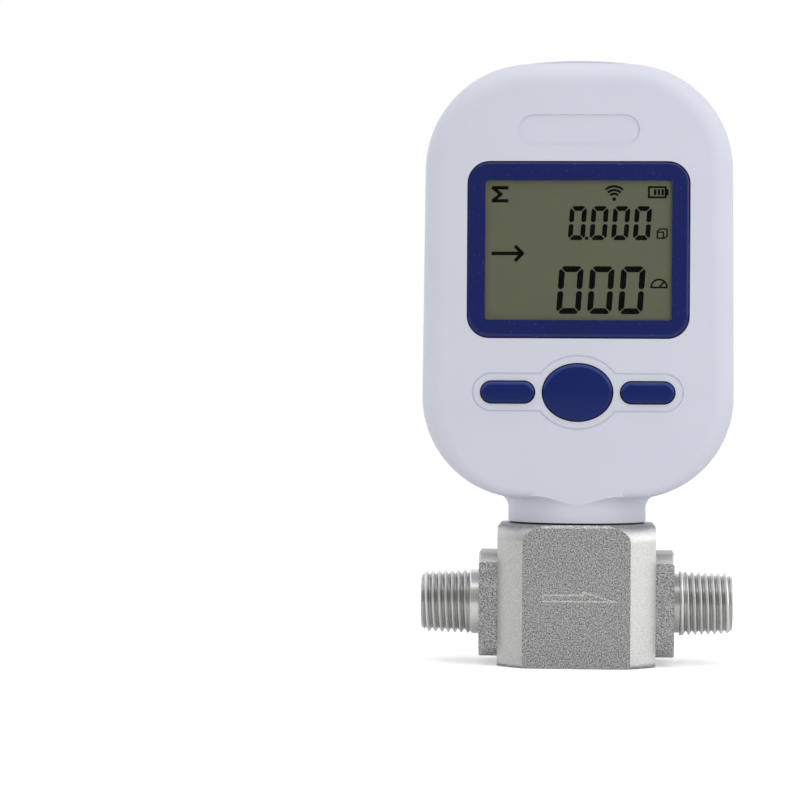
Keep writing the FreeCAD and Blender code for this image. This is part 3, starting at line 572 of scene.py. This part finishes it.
def turned_aluminium():
    # Fine rings from the lathe, 0.15 mm apart, drawn at 0.3 mm so that they
    # show: pale, with a soft band of light down the side.
    feed = 0.3 * MM
    material, place = begun("turned_aluminium")
    rings = add(material, "ShaderNodeTexWave",
                {"bands_direction": "Z", "Scale": WAVE / feed},
                {"Vector": place.outputs["Object"]})
    gloss = add(material, "ShaderNodeMapRange", {"To Min": 0.26, "To Max": 0.4},
                {"Value": rings.outputs["Fac"]})
    bump = add(material, "ShaderNodeBump", {"Strength": 0.15, "Distance": 0.02 * MM},
               {"Height": rings.outputs["Fac"]})
    surface = add(material, "ShaderNodeBsdfPrincipled",
                  {"Base Color": linear("C9CBD0"), "Metallic": 1.0},
                  {"Roughness": gloss, "Normal": bump})
    return close(material, surface)


coat(turned_aluminium(), "neck_ring")
coat(screw_steel, "neck_ring_screws")
coat(nitrile, "neck_gasket")


# Front and rear halves of the head and neck, injection-moulded in pale grey
# ABS with a fine satin skin. Screws from the back close them on a seal.


def satin_moulded_abs():
    # A spark-eroded mould leaves a skin of about 0.1 mm grain, drawn at
    # 0.25 mm: it softens the highlights and hardly shows as relief. The
    # pigment varies a little over about 12 mm.
    grain = 0.25 * MM
    swirl = 12.0 * MM
    material, place = begun("satin_moulded_abs")
    skin_grain = add(material, "ShaderNodeTexNoise",
                     {"Scale": 1 / grain, "Detail": 1.0},
                     {"Vector": place.outputs["Object"]})
    swirls = add(material, "ShaderNodeTexNoise", {"Scale": 1 / swirl, "Detail": 2.0},
                 {"Vector": place.outputs["Object"]})
    tone = add(material, "ShaderNodeValToRGB",
               {"stops": ((0.3, "CFD2DE"), (0.7, "D1D4E0"))},
               {"Fac": swirls})
    gloss = add(material, "ShaderNodeMapRange", {"To Min": 0.38, "To Max": 0.48},
                {"Value": skin_grain})
    bump = add(material, "ShaderNodeBump", {"Strength": 0.08, "Distance": 0.02 * MM},
               {"Height": skin_grain})
    surface = add(material, "ShaderNodeBsdfPrincipled", {"IOR": 1.53},
                  {"Base Color": tone, "Roughness": gloss, "Normal": bump})
    return close(material, surface)


satin_abs = satin_moulded_abs()
coat(satin_abs, "front_shell", "rear_shell", "battery_cover")
coat(screw_steel, "shell_screws", "cover_screw")
coat(nitrile, "shell_seal")


# A cast acrylic pane with a rounded rim, bonded into the face. All but the
# part before the display is printed dark blue, which shows with the gloss
# of the acrylic over it.

pane_low, pane_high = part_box("display_window")
PANE_W = pane_high[0] - pane_low[0]
PANE_H = pane_high[2] - pane_low[2]
PANE_CZ = (pane_low[2] + pane_high[2]) / 2
PANE_FRONT = pane_low[1]
PANE_BACK = pane_high[1]
PANE_T = PANE_BACK - PANE_FRONT
PANE_R = 4.75 * MM
RIM_R = 0.85 * MM
RIM_EASE = 0.08 * MM
RIM_STEPS = 8
CORNER_STEPS = 10
VIEW_W = 40.05 * MM
VIEW_H = 30.0 * MM
VIEW_R = 0.5 * MM
VIEW_CZ = PANE_CZ - 0.1 * MM
# The clear part is drawn a quarter as thick as the pane, to leave room for
# the display's front glass.
CLEAR_BACK = PANE_FRONT + PANE_T / 4
SHARP_EDGE = math.radians(35)


def rounded_loop(w, h, r, cz, steps=CORNER_STEPS):
    """Rounded rectangle about x = 0, anticlockwise from the front."""
    loop = []
    for qx, qz, start in ((1, -1, -90), (1, 1, 0), (-1, 1, 90), (-1, -1, 180)):
        for i in range(steps + 1):
            a = math.radians(start + 90 * i / steps)
            loop.append((qx * (w / 2 - r) + r * math.cos(a),
                         cz + qz * (h / 2 - r) + r * math.sin(a)))
    return loop


def lofted(bm, rows, slot, closed):
    """Skin through loops of equal length, each given as (loop, y)."""
    made = [[bm.verts.new((p[0], y, p[1])) for p in loop] for loop, y in rows]
    if closed:
        made.append(made[0])
    n = len(made[0])
    faces = []
    for low, high in zip(made, made[1:]):
        for i in range(n):
            k = (i + 1) % n
            faces.append(bm.faces.new([low[i], low[k], high[k], high[i]]))
    if not closed:
        faces.append(bm.faces.new(made[0]))
        faces.append(bm.faces.new(made[-1][::-1]))
    for face in faces:
        face.material_index = slot


def pane_loop(d):
    """The pane's outline, drawn inwards by d."""
    return rounded_loop(PANE_W - 2 * d, PANE_H - 2 * d, PANE_R - d, PANE_CZ)


def printed_pane(printed, clear):
    """The printed frame with its rounded rim, and the clear part in it."""
    bm = bmesh.new()
    rows = [(pane_loop(0.0), PANE_BACK)]
    for i in range(RIM_STEPS + 1):
        a = math.pi / 2 * i / RIM_STEPS
        rows.append((pane_loop(RIM_R * (1 - math.cos(a))),
                     PANE_FRONT + RIM_R * (1 - math.sin(a))))
    rows.append((pane_loop(RIM_R + RIM_EASE), PANE_FRONT))
    view = rounded_loop(VIEW_W, VIEW_H, VIEW_R, VIEW_CZ)
    rows.append((view, PANE_FRONT))
    rows.append((view, PANE_BACK))
    lofted(bm, rows, 0, True)
    lofted(bm, [(view, PANE_FRONT + HAIR), (view, CLEAR_BACK)], 1, False)
    mesh = mesh_from(bm, "printed_pane", printed, clear)
    mesh.shade_smooth()
    mesh.set_sharp_from_angle(angle=SHARP_EDGE)
    return mesh


def blue_printed_acrylic():
    # Deep blue ink under a polished clear skin, which gives the rim its line
    # of light. Specks of dust, about 0.1 mm, are drawn at 0.25 mm.
    speck = 0.25 * MM
    cloud = 14.0 * MM
    material, place = begun("blue_printed_acrylic")
    clouds = add(material, "ShaderNodeTexNoise", {"Scale": 1 / cloud, "Detail": 2.0},
                 {"Vector": place.outputs["Object"]})
    ink = add(material, "ShaderNodeValToRGB",
              {"stops": ((0.35, "081652"), (0.65, "08175E"))},
              {"Fac": clouds})
    specks = add(material, "ShaderNodeTexNoise", {"Scale": 1 / speck, "Detail": 0.0},
                 {"Vector": place.outputs["Object"]})
    dust = add(material, "ShaderNodeMapRange",
               {"From Min": 0.8, "From Max": 0.86, "To Max": 0.5},
               {"Value": specks})
    tone = add(material, "ShaderNodeMix", {"data_type": "RGBA", 7: linear("9AA3C8")},
               {0: dust, 6: ink})
    surface = add(material, "ShaderNodeBsdfPrincipled",
                  {"Roughness": 0.4, "Specular IOR Level": 0.05, "Coat Weight": 0.7,
                   "Coat Roughness": 0.05},
                  {"Base Color": tone.outputs[2]})
    return close(material, surface)


def polished_clear_acrylic():
    # Thin and clear: it lets the display through and only glints, a little
    # less where it has been wiped, over about 5 mm.
    wipe = 5.0 * MM
    material, place = begun("polished_clear_acrylic")
    wipes = add(material, "ShaderNodeTexNoise", {"Scale": 1 / wipe, "Detail": 3.0},
                {"Vector": place.outputs["Object"]})
    gloss = add(material, "ShaderNodeMapRange", {"To Min": 0.02, "To Max": 0.08},
                {"Value": wipes})
    surface = add(material, "ShaderNodeBsdfPrincipled",
                  {"Base Color": linear("20221C"), "Alpha": 0.06, "IOR": 1.49},
                  {"Roughness": gloss})
    return close(material, surface)


pane = placed("display_window_printed",
              printed_pane(blue_printed_acrylic(), polished_clear_acrylic()))
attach(pane, "housing")
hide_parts("display_window")


# A reflective liquid crystal panel: olive grey glass on which the driven
# segments turn black. It shows two rows of noughts and a few plain signs.
# Its front glass stands in the opening of the face, against the pane.

LCD_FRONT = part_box("lcd_panel")[0][1]
GLASS_W = 41.2 * MM
GLASS_H = 31.2 * MM
GLASS_R = 0.3 * MM
GLASS_CORNER_STEPS = 3
# The pane bends light and is printed on its back, so the display looks
# nearer than it is, with no wall round it. It is drawn forward by six
# tenths of the pane's thickness.
GLASS_FRONT = PANE_BACK - PANE_T * 0.6
SLANT = math.tan(math.radians(4.0))
BAR_GAP = 0.09 * MM
DOT_STEPS = 7
# A bar of a stroke runs past its corners by this share of its width.
STROKE_LAP = 0.3


def reflective_lcd_glass():
    # The reflector behind the glass is faintly mottled, about 4 mm across.
    patch = 4.0 * MM
    material, place = begun("reflective_lcd_glass")
    mottle = add(material, "ShaderNodeTexNoise",
                 {"Scale": 1 / patch, "Detail": 3.0, "Roughness": 0.6},
                 {"Vector": place.outputs["Object"]})
    tone = add(material, "ShaderNodeValToRGB",
               {"stops": ((0.35, "6A6E56"), (0.65, "6A6B5B"))},
               {"Fac": mottle})
    surface = add(material, "ShaderNodeBsdfPrincipled",
                  {"Roughness": 0.5, "Specular IOR Level": 0.15},
                  {"Base Color": tone})
    return close(material, surface)


def dotted_light_guide():
    # Clear acrylic plate with white dots printed 1.2 mm apart on its back.
    pitch = 1.2 * MM
    material, place = begun("dotted_light_guide")
    dots = add(material, "ShaderNodeTexVoronoi",
               {"Scale": 1 / pitch, "Randomness": 0.0},
               {"Vector": place.outputs["Object"]})
    tone = add(material, "ShaderNodeValToRGB",
               {"stops": ((0.3, "F0F0EC"), (0.36, "CDD2D0"))},
               {"Fac": dots})
    surface = add(material, "ShaderNodeBsdfPrincipled",
                  {"Roughness": 0.2, "IOR": 1.49},
                  {"Base Color": tone})
    return close(material, surface)


def black_moulded_abs():
    # Black moulding with an etched skin of 0.3 mm grain.
    grain = 0.3 * MM
    material, place = begun("black_moulded_abs")
    skin_grain = add(material, "ShaderNodeTexNoise", {"Scale": 1 / grain},
                     {"Vector": place.outputs["Object"]})
    bump = add(material, "ShaderNodeBump", {"Strength": 0.25, "Distance": 0.03 * MM},
               {"Height": skin_grain})
    surface = add(material, "ShaderNodeBsdfPrincipled",
                  {"Base Color": linear("131314"), "Roughness": 0.5, "IOR": 1.53},
                  {"Normal": bump})
    return close(material, surface)


lcd_glass = reflective_lcd_glass()
coat(lcd_glass, "lcd_panel")
coat(dotted_light_guide(), "light_guide")
coat(black_moulded_abs(), "lcd_frame")

glass_bm = bmesh.new()
glass_loop = rounded_loop(GLASS_W, GLASS_H, GLASS_R, PANE_CZ, GLASS_CORNER_STEPS)
lofted(glass_bm, [(glass_loop, GLASS_FRONT), (glass_loop, LCD_FRONT)], 0, False)
glass = placed("lcd_front_glass", mesh_from(glass_bm, "lcd_front_glass", lcd_glass))
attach(glass, "housing")


def segment(x, z, w, h, t, which):
    """One bar of a seven-segment figure whose lower left corner is (x, z).

    The figure's corners are cut off, and a hair gap parts the bars. A bar's
    corners are shares of its width t and of that gap."""
    cut = t * 0.75
    half_cut = cut / 2
    inner = t + 1.4 * BAR_GAP
    shoulder = h / 2 - t * 0.45
    tip = h / 2 - 2.4 * BAR_GAP
    if which in ("top", "low"):
        pts = [(cut, 0), (w - cut, 0), (w - half_cut - BAR_GAP, half_cut - BAR_GAP),
               (w - inner, t), (inner, t), (half_cut + BAR_GAP, half_cut - BAR_GAP)]
        if which == "top":
            pts = [(a, h - b) for a, b in reversed(pts)]
    else:
        pts = [(0, cut), (half_cut - BAR_GAP, half_cut + BAR_GAP), (t, inner),
               (t, shoulder), (t * 0.66, tip), (t * 0.34, tip), (0, shoulder)]
        if which.startswith("upper"):
            pts = [(a, h - b) for a, b in reversed(pts)]
        if which.endswith("right"):
            pts = [(w - a, b) for a, b in reversed(pts)]
    return [(x + a + b * SLANT, z + b) for a, b in pts]


def nought(x, z, w, h, t):
    """The six bars of a nought."""
    bars = ("top", "low", "upper_left", "lower_left", "upper_right",
            "lower_right")
    return [[segment(x, z, w, h, t, bar)] for bar in bars]


def bar_loop(x0, z0, x1, z1):
    """An upright rectangle from corner to corner."""
    return [(x0, z0), (x1, z0), (x1, z1), (x0, z1)]


def stroke(points, t):
    """A line of width t through points, as one bar for each stretch."""
    rings = []
    for a, b in zip(points, points[1:]):
        a = Vector(a)
        b = Vector(b)
        along = (b - a).normalized() * t * STROKE_LAP
        side = Vector((-along.y, along.x)).normalized() * t / 2
        a = a - along
        b = b + along
        rings.append([[tuple(a - side), tuple(b - side), tuple(b + side),
                       tuple(a + side)]])
    return rings


def arc_points(cx, cz, r, from_deg, to_deg, steps):
    """Points along an arc, in degrees from the right."""
    out = []
    for i in range(steps + 1):
        a = math.radians(from_deg + (to_deg - from_deg) * i / steps)
        out.append((cx + r * math.cos(a), cz + r * math.sin(a)))
    return out


def dot_loop(x, z, r):
    """A round dot with eight corners."""
    return arc_points(x, z, r, 0, 315, DOT_STEPS)


SMALL_W = 3.66 * MM
SMALL_H = 7.3 * MM
SMALL_T = 1.04 * MM
SMALL_PITCH = 4.64 * MM
SMALL_X = -2.32 * MM
SMALL_Z = PANE_CZ + 2.1 * MM
LARGE_W = 5.26 * MM
LARGE_H = 10.25 * MM
LARGE_T = 1.26 * MM
LARGE_PITCH = 6.63 * MM
LARGE_X = -4.75 * MM
LARGE_Z = PANE_CZ - 13.75 * MM
POINT_X = 1.74 * MM
POINT_R = 0.42 * MM


def numerals():
    """Four small noughts with a point after the first, and three large."""
    rings = []
    for i in range(4):
        rings += nought(SMALL_X + i * SMALL_PITCH, SMALL_Z, SMALL_W, SMALL_H,
                        SMALL_T)
    for i in range(3):
        rings += nought(LARGE_X + i * LARGE_PITCH, LARGE_Z, LARGE_W, LARGE_H,
                        LARGE_T)
    rings.append([dot_loop(POINT_X, SMALL_Z + POINT_R, POINT_R)])
    return rings


def sum_sign(x, z, w, h, t):
    """A capital sigma, in one stroke."""
    return stroke([(x + w, z + h), (x, z + h), (x + w * 0.55, z + h / 2), (x, z),
                   (x + w, z)], t)


def arrow_sign(x, z, w, h, t):
    """A shaft along z, and a head of height h."""
    rings = stroke([(x, z), (x + w, z)], t)
    rings += stroke([(x + w - h / 2, z + h / 2), (x + w, z),
                     (x + w - h / 2, z - h / 2)], t)
    return rings


def battery_sign(x, z, w, h, t):
    """A case with its cap, and three bars of charge in it."""
    charge_x = 1.3 * MM
    charge_w = 0.52 * MM
    charge_pitch = 0.8 * MM
    clear = 1.6 * t
    case = bar_loop(x, z, x + w, z + h)
    rings = [[case, inset(case, t)]]
    rings.append([bar_loop(x + w, z + h / 4, x + w + t, z + h * 3 / 4)])
    for i in range(3):
        left = x + charge_x + i * charge_pitch
        rings.append([bar_loop(left, z + clear, left + charge_w, z + h - clear)])
    return rings


def wave_sign(x, z, t):
    """A dot with three arcs over it."""
    rings = [[dot_loop(x, z, POINT_R)]]
    for r in (1.15 * MM, 1.95 * MM, 2.75 * MM):
        rings += stroke(arc_points(x, z, r, 50, 130, steps=8), t)
    return rings


def cube_sign(x, z, w, t):
    """A cube seen from the right and above."""
    right = w * 0.4
    up = right * 0.8
    face = bar_loop(x, z, x + w, z + w)
    rings = [[face, inset(face, t)]]
    rings += stroke([(x + t / 2, z + w), (x + right, z + w + up),
                     (x + w + right, z + w + up), (x + w + right, z + up),
                     (x + w, z + t / 2)], t)
    return rings


def dial_sign(x, z, r, t):
    """Half a dial with its pointer."""
    rings = stroke(arc_points(x, z, r, 0, 180, steps=12), t)
    rings += stroke([(x - r, z), (x + r, z)], t)
    rings += stroke([(x, z), (x + r * 0.55, z + r * 0.6)], t)
    return rings


def driven_liquid_crystal():
    # A driven segment lets no light back: a flat black, with the faint cloud
    # of about 1.5 mm that the cell's gap gives it.
    cloud = 1.5 * MM
    material, place = begun("driven_liquid_crystal")
    clouds = add(material, "ShaderNodeTexNoise", {"Scale": 1 / cloud},
                 {"Vector": place.outputs["Object"]})
    tone = add(material, "ShaderNodeValToRGB",
               {"stops": ((0.0, "000000"), (1.0, "030303"))},
               {"Fac": clouds})
    surface = add(material, "ShaderNodeBsdfPrincipled",
                  {"Roughness": 0.5, "Specular IOR Level": 0.05},
                  {"Base Color": tone})
    return close(material, surface)


lcd_black = driven_liquid_crystal()
digits = skin("lcd_numerals", numerals(), GLASS_FRONT, SKIN, lcd_black)
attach(digits, "housing")

# Signs round the figures: a sum, a flow, a battery, radio waves, a volume
# and a rate.
SIGN_LEFT = -18.4 * MM
signs = sum_sign(SIGN_LEFT, PANE_CZ + 10.5 * MM, w=3.1 * MM, h=2.8 * MM, t=0.7 * MM)
signs += arrow_sign(SIGN_LEFT, PANE_CZ - 0.8 * MM, w=6.4 * MM, h=2.9 * MM,
                    t=0.75 * MM)
signs += battery_sign(14.8 * MM, PANE_CZ + 11.1 * MM, w=4.0 * MM, h=2.6 * MM,
                      t=0.42 * MM)
signs += wave_sign(7.6 * MM, PANE_CZ + 10.9 * MM, t=0.46 * MM)
signs += cube_sign(16.7 * MM, PANE_CZ + 2.4 * MM, w=1.6 * MM, t=0.3 * MM)
signs += dial_sign(17.3 * MM, PANE_CZ - 8.0 * MM, r=1.7 * MM, t=0.36 * MM)
marks = skin("lcd_signs", signs, GLASS_FRONT, SKIN, lcd_black)
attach(marks, "housing")


# Three domed caps moulded in dark blue plastic, loose in the face. Each is
# held by a lip behind it and pushed out by its dome on the rubber mat.


def satin_blue_moulded_abs():
    # Coloured through and moulded with a fine etched skin of 0.1 mm, drawn
    # at 0.2 mm. Wear has polished it: deep blue, with a light on each rim.
    # The slope along the upper side of each cap is painted a paler blue, as
    # painted light from above.
    grain = 0.2 * MM
    material, place = begun("satin_blue_moulded_abs")
    skin_grain = add(material, "ShaderNodeTexNoise",
                     {"Scale": 1 / grain, "Detail": 1.0},
                     {"Vector": place.outputs["Object"]})
    tone = add(material, "ShaderNodeValToRGB",
               {"stops": ((0.3, "031A5C"), (0.7, "071F62"))},
               {"Fac": skin_grain})
    leans = add(material, "ShaderNodeSeparateXYZ",
                links={"Vector": place.outputs["Normal"]})
    # Painted light: slopes that face up are painted a paler blue.
    upper = add(material, "ShaderNodeMapRange", {"From Min": 0.075, "From Max": 0.1},
                {"Value": leans.outputs["Z"]})
    painted_top_light = add(material, "ShaderNodeMix", {"data_type": "RGBA", 7: linear("253979")},
                {0: upper, 6: tone})
    bump = add(material, "ShaderNodeBump", {"Strength": 0.1, "Distance": 0.02 * MM},
               {"Height": skin_grain})
    surface = add(material, "ShaderNodeBsdfPrincipled",
                  {"Roughness": 0.42, "IOR": 1.53, "Specular IOR Level": 0.1,
                   "Coat Weight": 0.3, "Coat Roughness": 0.08},
                  {"Base Color": painted_top_light.outputs[2], "Normal": bump})
    return close(material, surface)


def moulded_grey_silicone():
    # Soft and matt, with dust that clings in patches of about 1.5 mm.
    patch = 1.5 * MM
    material, place = begun("moulded_grey_silicone")
    patches = add(material, "ShaderNodeTexNoise", {"Scale": 1 / patch, "Detail": 3.0},
                  {"Vector": place.outputs["Object"]})
    tone = add(material, "ShaderNodeValToRGB",
               {"stops": ((0.4, "48484C"), (0.7, "58585B"))},
               {"Fac": patches})
    surface = add(material, "ShaderNodeBsdfPrincipled",
                  {"Roughness": 0.68, "IOR": 1.41},
                  {"Base Color": tone})
    return close(material, surface)


coat(satin_blue_moulded_abs(), "key_left", "key_center", "key_right")
coat(moulded_grey_silicone(), "keypad_mat")


# The main board of glass epoxy under green solder mask, screwed to bosses in
# the front shell, and a film antenna stuck inside the top of the face.


def copper_on_polyimide_film():
    # Copper lines 1 mm wide at a pitch of 2 mm, on an amber film.
    pitch = 2.0 * MM
    material, place = begun("copper_on_polyimide_film")
    lines = add(material, "ShaderNodeTexWave",
                {"bands_direction": "Z", "Scale": WAVE / pitch},
                {"Vector": place.outputs["Object"]})
    tone = add(material, "ShaderNodeValToRGB",
               {"stops": ((0.48, "6E3F12"), (0.52, "B4714A"))},
               {"Fac": lines.outputs["Fac"]})
    surface = add(material, "ShaderNodeBsdfPrincipled", {"Roughness": 0.35},
                  {"Base Color": tone})
    return close(material, surface)


coat(board_green, "main_board")
coat(screw_steel, "board_screws")
coat(copper_on_polyimide_film(), "antenna")


# Two cells side by side in the rear shell, between nickel-plated strips,
# with a pair of leads to the main board.

cell_low, cell_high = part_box("batteries")
CELL_MIDDLE = (cell_low[2] + cell_high[2]) / 2


def printed_cell_sleeve():
    # Shrunk plastic sleeve, dark grey and glossy, with a pale ring 6 mm wide
    # printed round the middle.
    ring = 6.0 * MM
    material, place = begun("printed_cell_sleeve")
    axes = add(material, "ShaderNodeSeparateXYZ",
               links={"Vector": place.outputs["Object"]})
    away = add(material, "ShaderNodeMath", {"operation": "SUBTRACT", 1: CELL_MIDDLE},
               {0: axes.outputs["Z"]})
    height = add(material, "ShaderNodeMath", {"operation": "ABSOLUTE"},
                 {0: away})
    inside = add(material, "ShaderNodeMath", {"operation": "LESS_THAN", 1: ring / 2},
                 {0: height})
    tone = add(material, "ShaderNodeValToRGB",
               {"stops": ((0.0, "2A2F35"), (1.0, "A9ADB0"))},
               {"Fac": inside})
    surface = add(material, "ShaderNodeBsdfPrincipled", {"Roughness": 0.28},
                  {"Base Color": tone})
    return close(material, surface)


def nickel_plated_strip():
    # Rolled strip, plated bright: streaks along X about 0.4 mm wide and some
    # twenty times as long.
    streak = 0.4 * MM
    material, place = begun("nickel_plated_strip")
    drawn = add(material, "ShaderNodeMapping", {"Scale": (0.05, 1.0, 1.0)},
                {"Vector": place.outputs["Object"]})
    streaks = add(material, "ShaderNodeTexNoise",
                  {"Scale": 1 / streak, "Detail": 2.0},
                  {"Vector": drawn})
    gloss = add(material, "ShaderNodeMapRange", {"To Min": 0.15, "To Max": 0.35},
                {"Value": streaks})
    surface = add(material, "ShaderNodeBsdfPrincipled",
                  {"Base Color": linear("BEB9AE"), "Metallic": 1.0},
                  {"Roughness": gloss})
    return close(material, surface)


coat(printed_cell_sleeve(), "batteries")
coat(nickel_plated_strip(), "lower_contact", "upper_contacts")
coat(extruded_pvc_jacket("red_pvc_jacket", "861813", "981F19"), "battery_leads")


# A white table and an even white room, with a soft lamp at each side and one
# above, as for a catalogue picture.

TABLE_HALF = 6.0
# The middle of the meter, which the lamps point at.
MIDDLE = (0.0, 0.0, 65 * MM)


def white_table():
    """Pale floor that shows white and keeps the shadow that falls on it.

    Gloss and glass need less added than the eye to see it white."""
    to_eye = 0.45
    to_gloss = 0.1
    material = blank("white_table")
    seen = add(material, "ShaderNodeLightPath")
    either = add(material, "ShaderNodeMath", {"operation": "MAXIMUM"},
                 {0: seen.outputs["Is Glossy Ray"],
                  1: seen.outputs["Is Transmission Ray"]})
    little = add(material, "ShaderNodeMath", {"operation": "MULTIPLY", 1: to_gloss},
                 {0: either})
    glow = add(material, "ShaderNodeMapRange", {"To Max": to_eye},
               {"Value": seen.outputs["Is Camera Ray"], "To Min": little})
    surface = add(material, "ShaderNodeBsdfPrincipled",
                  {"Base Color": linear("E6E6E6"), "Roughness": 0.9,
                   "Specular IOR Level": 0.0, "Emission Color": (1.0, 1.0, 1.0, 1.0)},
                  {"Emission Strength": glow})
    return close(material, surface)


top = bpy.data.meshes.new("table_top")
corners = [(-TABLE_HALF, -TABLE_HALF, 0.0), (TABLE_HALF, -TABLE_HALF, 0.0),
           (TABLE_HALF, TABLE_HALF, 0.0), (-TABLE_HALF, TABLE_HALF, 0.0)]
top.from_pydata(corners, [], [(0, 1, 2, 3)])
top.materials.append(white_table())
placed("table_top", top)


def white_room():
    """World that is white behind the meter and dim where the camera stands.

    Eye and glass see it plain white. Gloss sees the dim side, as in a studio
    with its lights off behind the camera, and a bright window on the right.
    It lights at an even level."""
    even = 0.7
    dim = 0.34
    window = 0.8
    # Behind the meter and somewhat to its right, where it is brightest.
    backdrop = (0.42, 0.908, 0.0)
    room = bpy.data.worlds.new("white_room")
    room.use_nodes = True
    room.node_tree.nodes.clear()
    seen = add(room, "ShaderNodeLightPath")
    way = add(room, "ShaderNodeTexCoord")
    away = add(room, "ShaderNodeVectorMath",
               {"operation": "DOT_PRODUCT", 1: backdrop},
               {0: way.outputs["Generated"]})
    side = add(room, "ShaderNodeMapRange",
               {"interpolation_type": "SMOOTHSTEP", "From Min": -0.95,
                "From Max": 0.15, "To Min": dim, "To Max": 1.0},
               {"Value": away.outputs["Value"]})
    right = add(room, "ShaderNodeSeparateXYZ",
                links={"Vector": way.outputs["Generated"]})
    pane_light = add(room, "ShaderNodeMapRange",
                     {"interpolation_type": "SMOOTHSTEP", "From Min": 0.5,
                      "From Max": 0.95, "To Max": window},
                     {"Value": right.outputs["X"]})
    sides = add(room, "ShaderNodeMath", {"operation": "ADD"},
                {0: side, 1: pane_light})
    gloss = add(room, "ShaderNodeMapRange", {"To Min": even},
                {"Value": seen.outputs["Is Glossy Ray"], "To Max": sides})
    glass = add(room, "ShaderNodeMapRange", {"To Max": 1.0},
                {"Value": seen.outputs["Is Transmission Ray"], "To Min": gloss})
    level = add(room, "ShaderNodeMapRange", {"To Max": 1.0},
                {"Value": seen.outputs["Is Camera Ray"], "To Min": glass})
    sky = add(room, "ShaderNodeBackground", {"Color": (1.0, 1.0, 1.0, 1.0)},
              {"Strength": level})
    add(room, "ShaderNodeOutputWorld", links={"Surface": sky})
    return room


bpy.context.scene.world = white_room()


def soft_lamp(name, place, size, watts):
    """A rectangular lamp that points at the middle of the meter."""
    data = bpy.data.lights.new(name, "AREA")
    data.shape = "RECTANGLE"
    data.size, data.size_y = size
    data.energy = watts
    lamp = placed(name, data)
    lamp.location = place
    way = Vector(MIDDLE) - Vector(place)
    lamp.rotation_euler = way.to_track_quat("-Z", "Y").to_euler()
    return lamp


soft_lamp("lamp_above", (0.0, -0.15, 0.8), size=(1.0, 0.75), watts=2.0)
beside = [soft_lamp("lamp_right", (0.2, -0.24, 0.17), size=(0.2, 0.3), watts=0.26),
          soft_lamp("lamp_left", (-0.7, -0.02, 0.08), size=(0.35, 0.3), watts=0.75)]
# Scrims hide the two at the sides from the gloss.
for lamp in beside:
    lamp.visible_glossy = False


# The camera stands where the photograph's perspective puts it: low on the
# head, straight before it, and turned so that the meter falls right of the
# middle of the frame.

FRAME_PX = 800
SENSOR_MM = 36
DISTANCE = 650 * MM
# The photograph's scale at the meter's middle plane, and the column where
# that middle stands.
PX_PER_M = 4546
METER_PX = 577.6
EYE_Z = 57.35 * MM
EYE_AZIMUTH = math.radians(0.1)
ROLL = math.radians(0.35)

lens = bpy.data.cameras.new("photo_lens")
lens.sensor_width = SENSOR_MM
lens.lens = SENSOR_MM * PX_PER_M * DISTANCE / FRAME_PX
lens.clip_start = 10 * MM
camera = placed("photo_camera", lens)
eye = Vector((DISTANCE * math.sin(EYE_AZIMUTH), -DISTANCE * math.cos(EYE_AZIMUTH),
              EYE_Z))
aim = Vector(((FRAME_PX / 2 - METER_PX) / PX_PER_M, 0.0, EYE_Z))
camera.location = eye
turn = (aim - eye).to_track_quat("-Z", "Y").to_matrix()
camera.rotation_euler = (turn @ Matrix.Rotation(ROLL, 3, "Z")).to_euler()
bpy.context.scene.camera = camera
bpy.context.scene.view_settings.view_transform = "Standard"
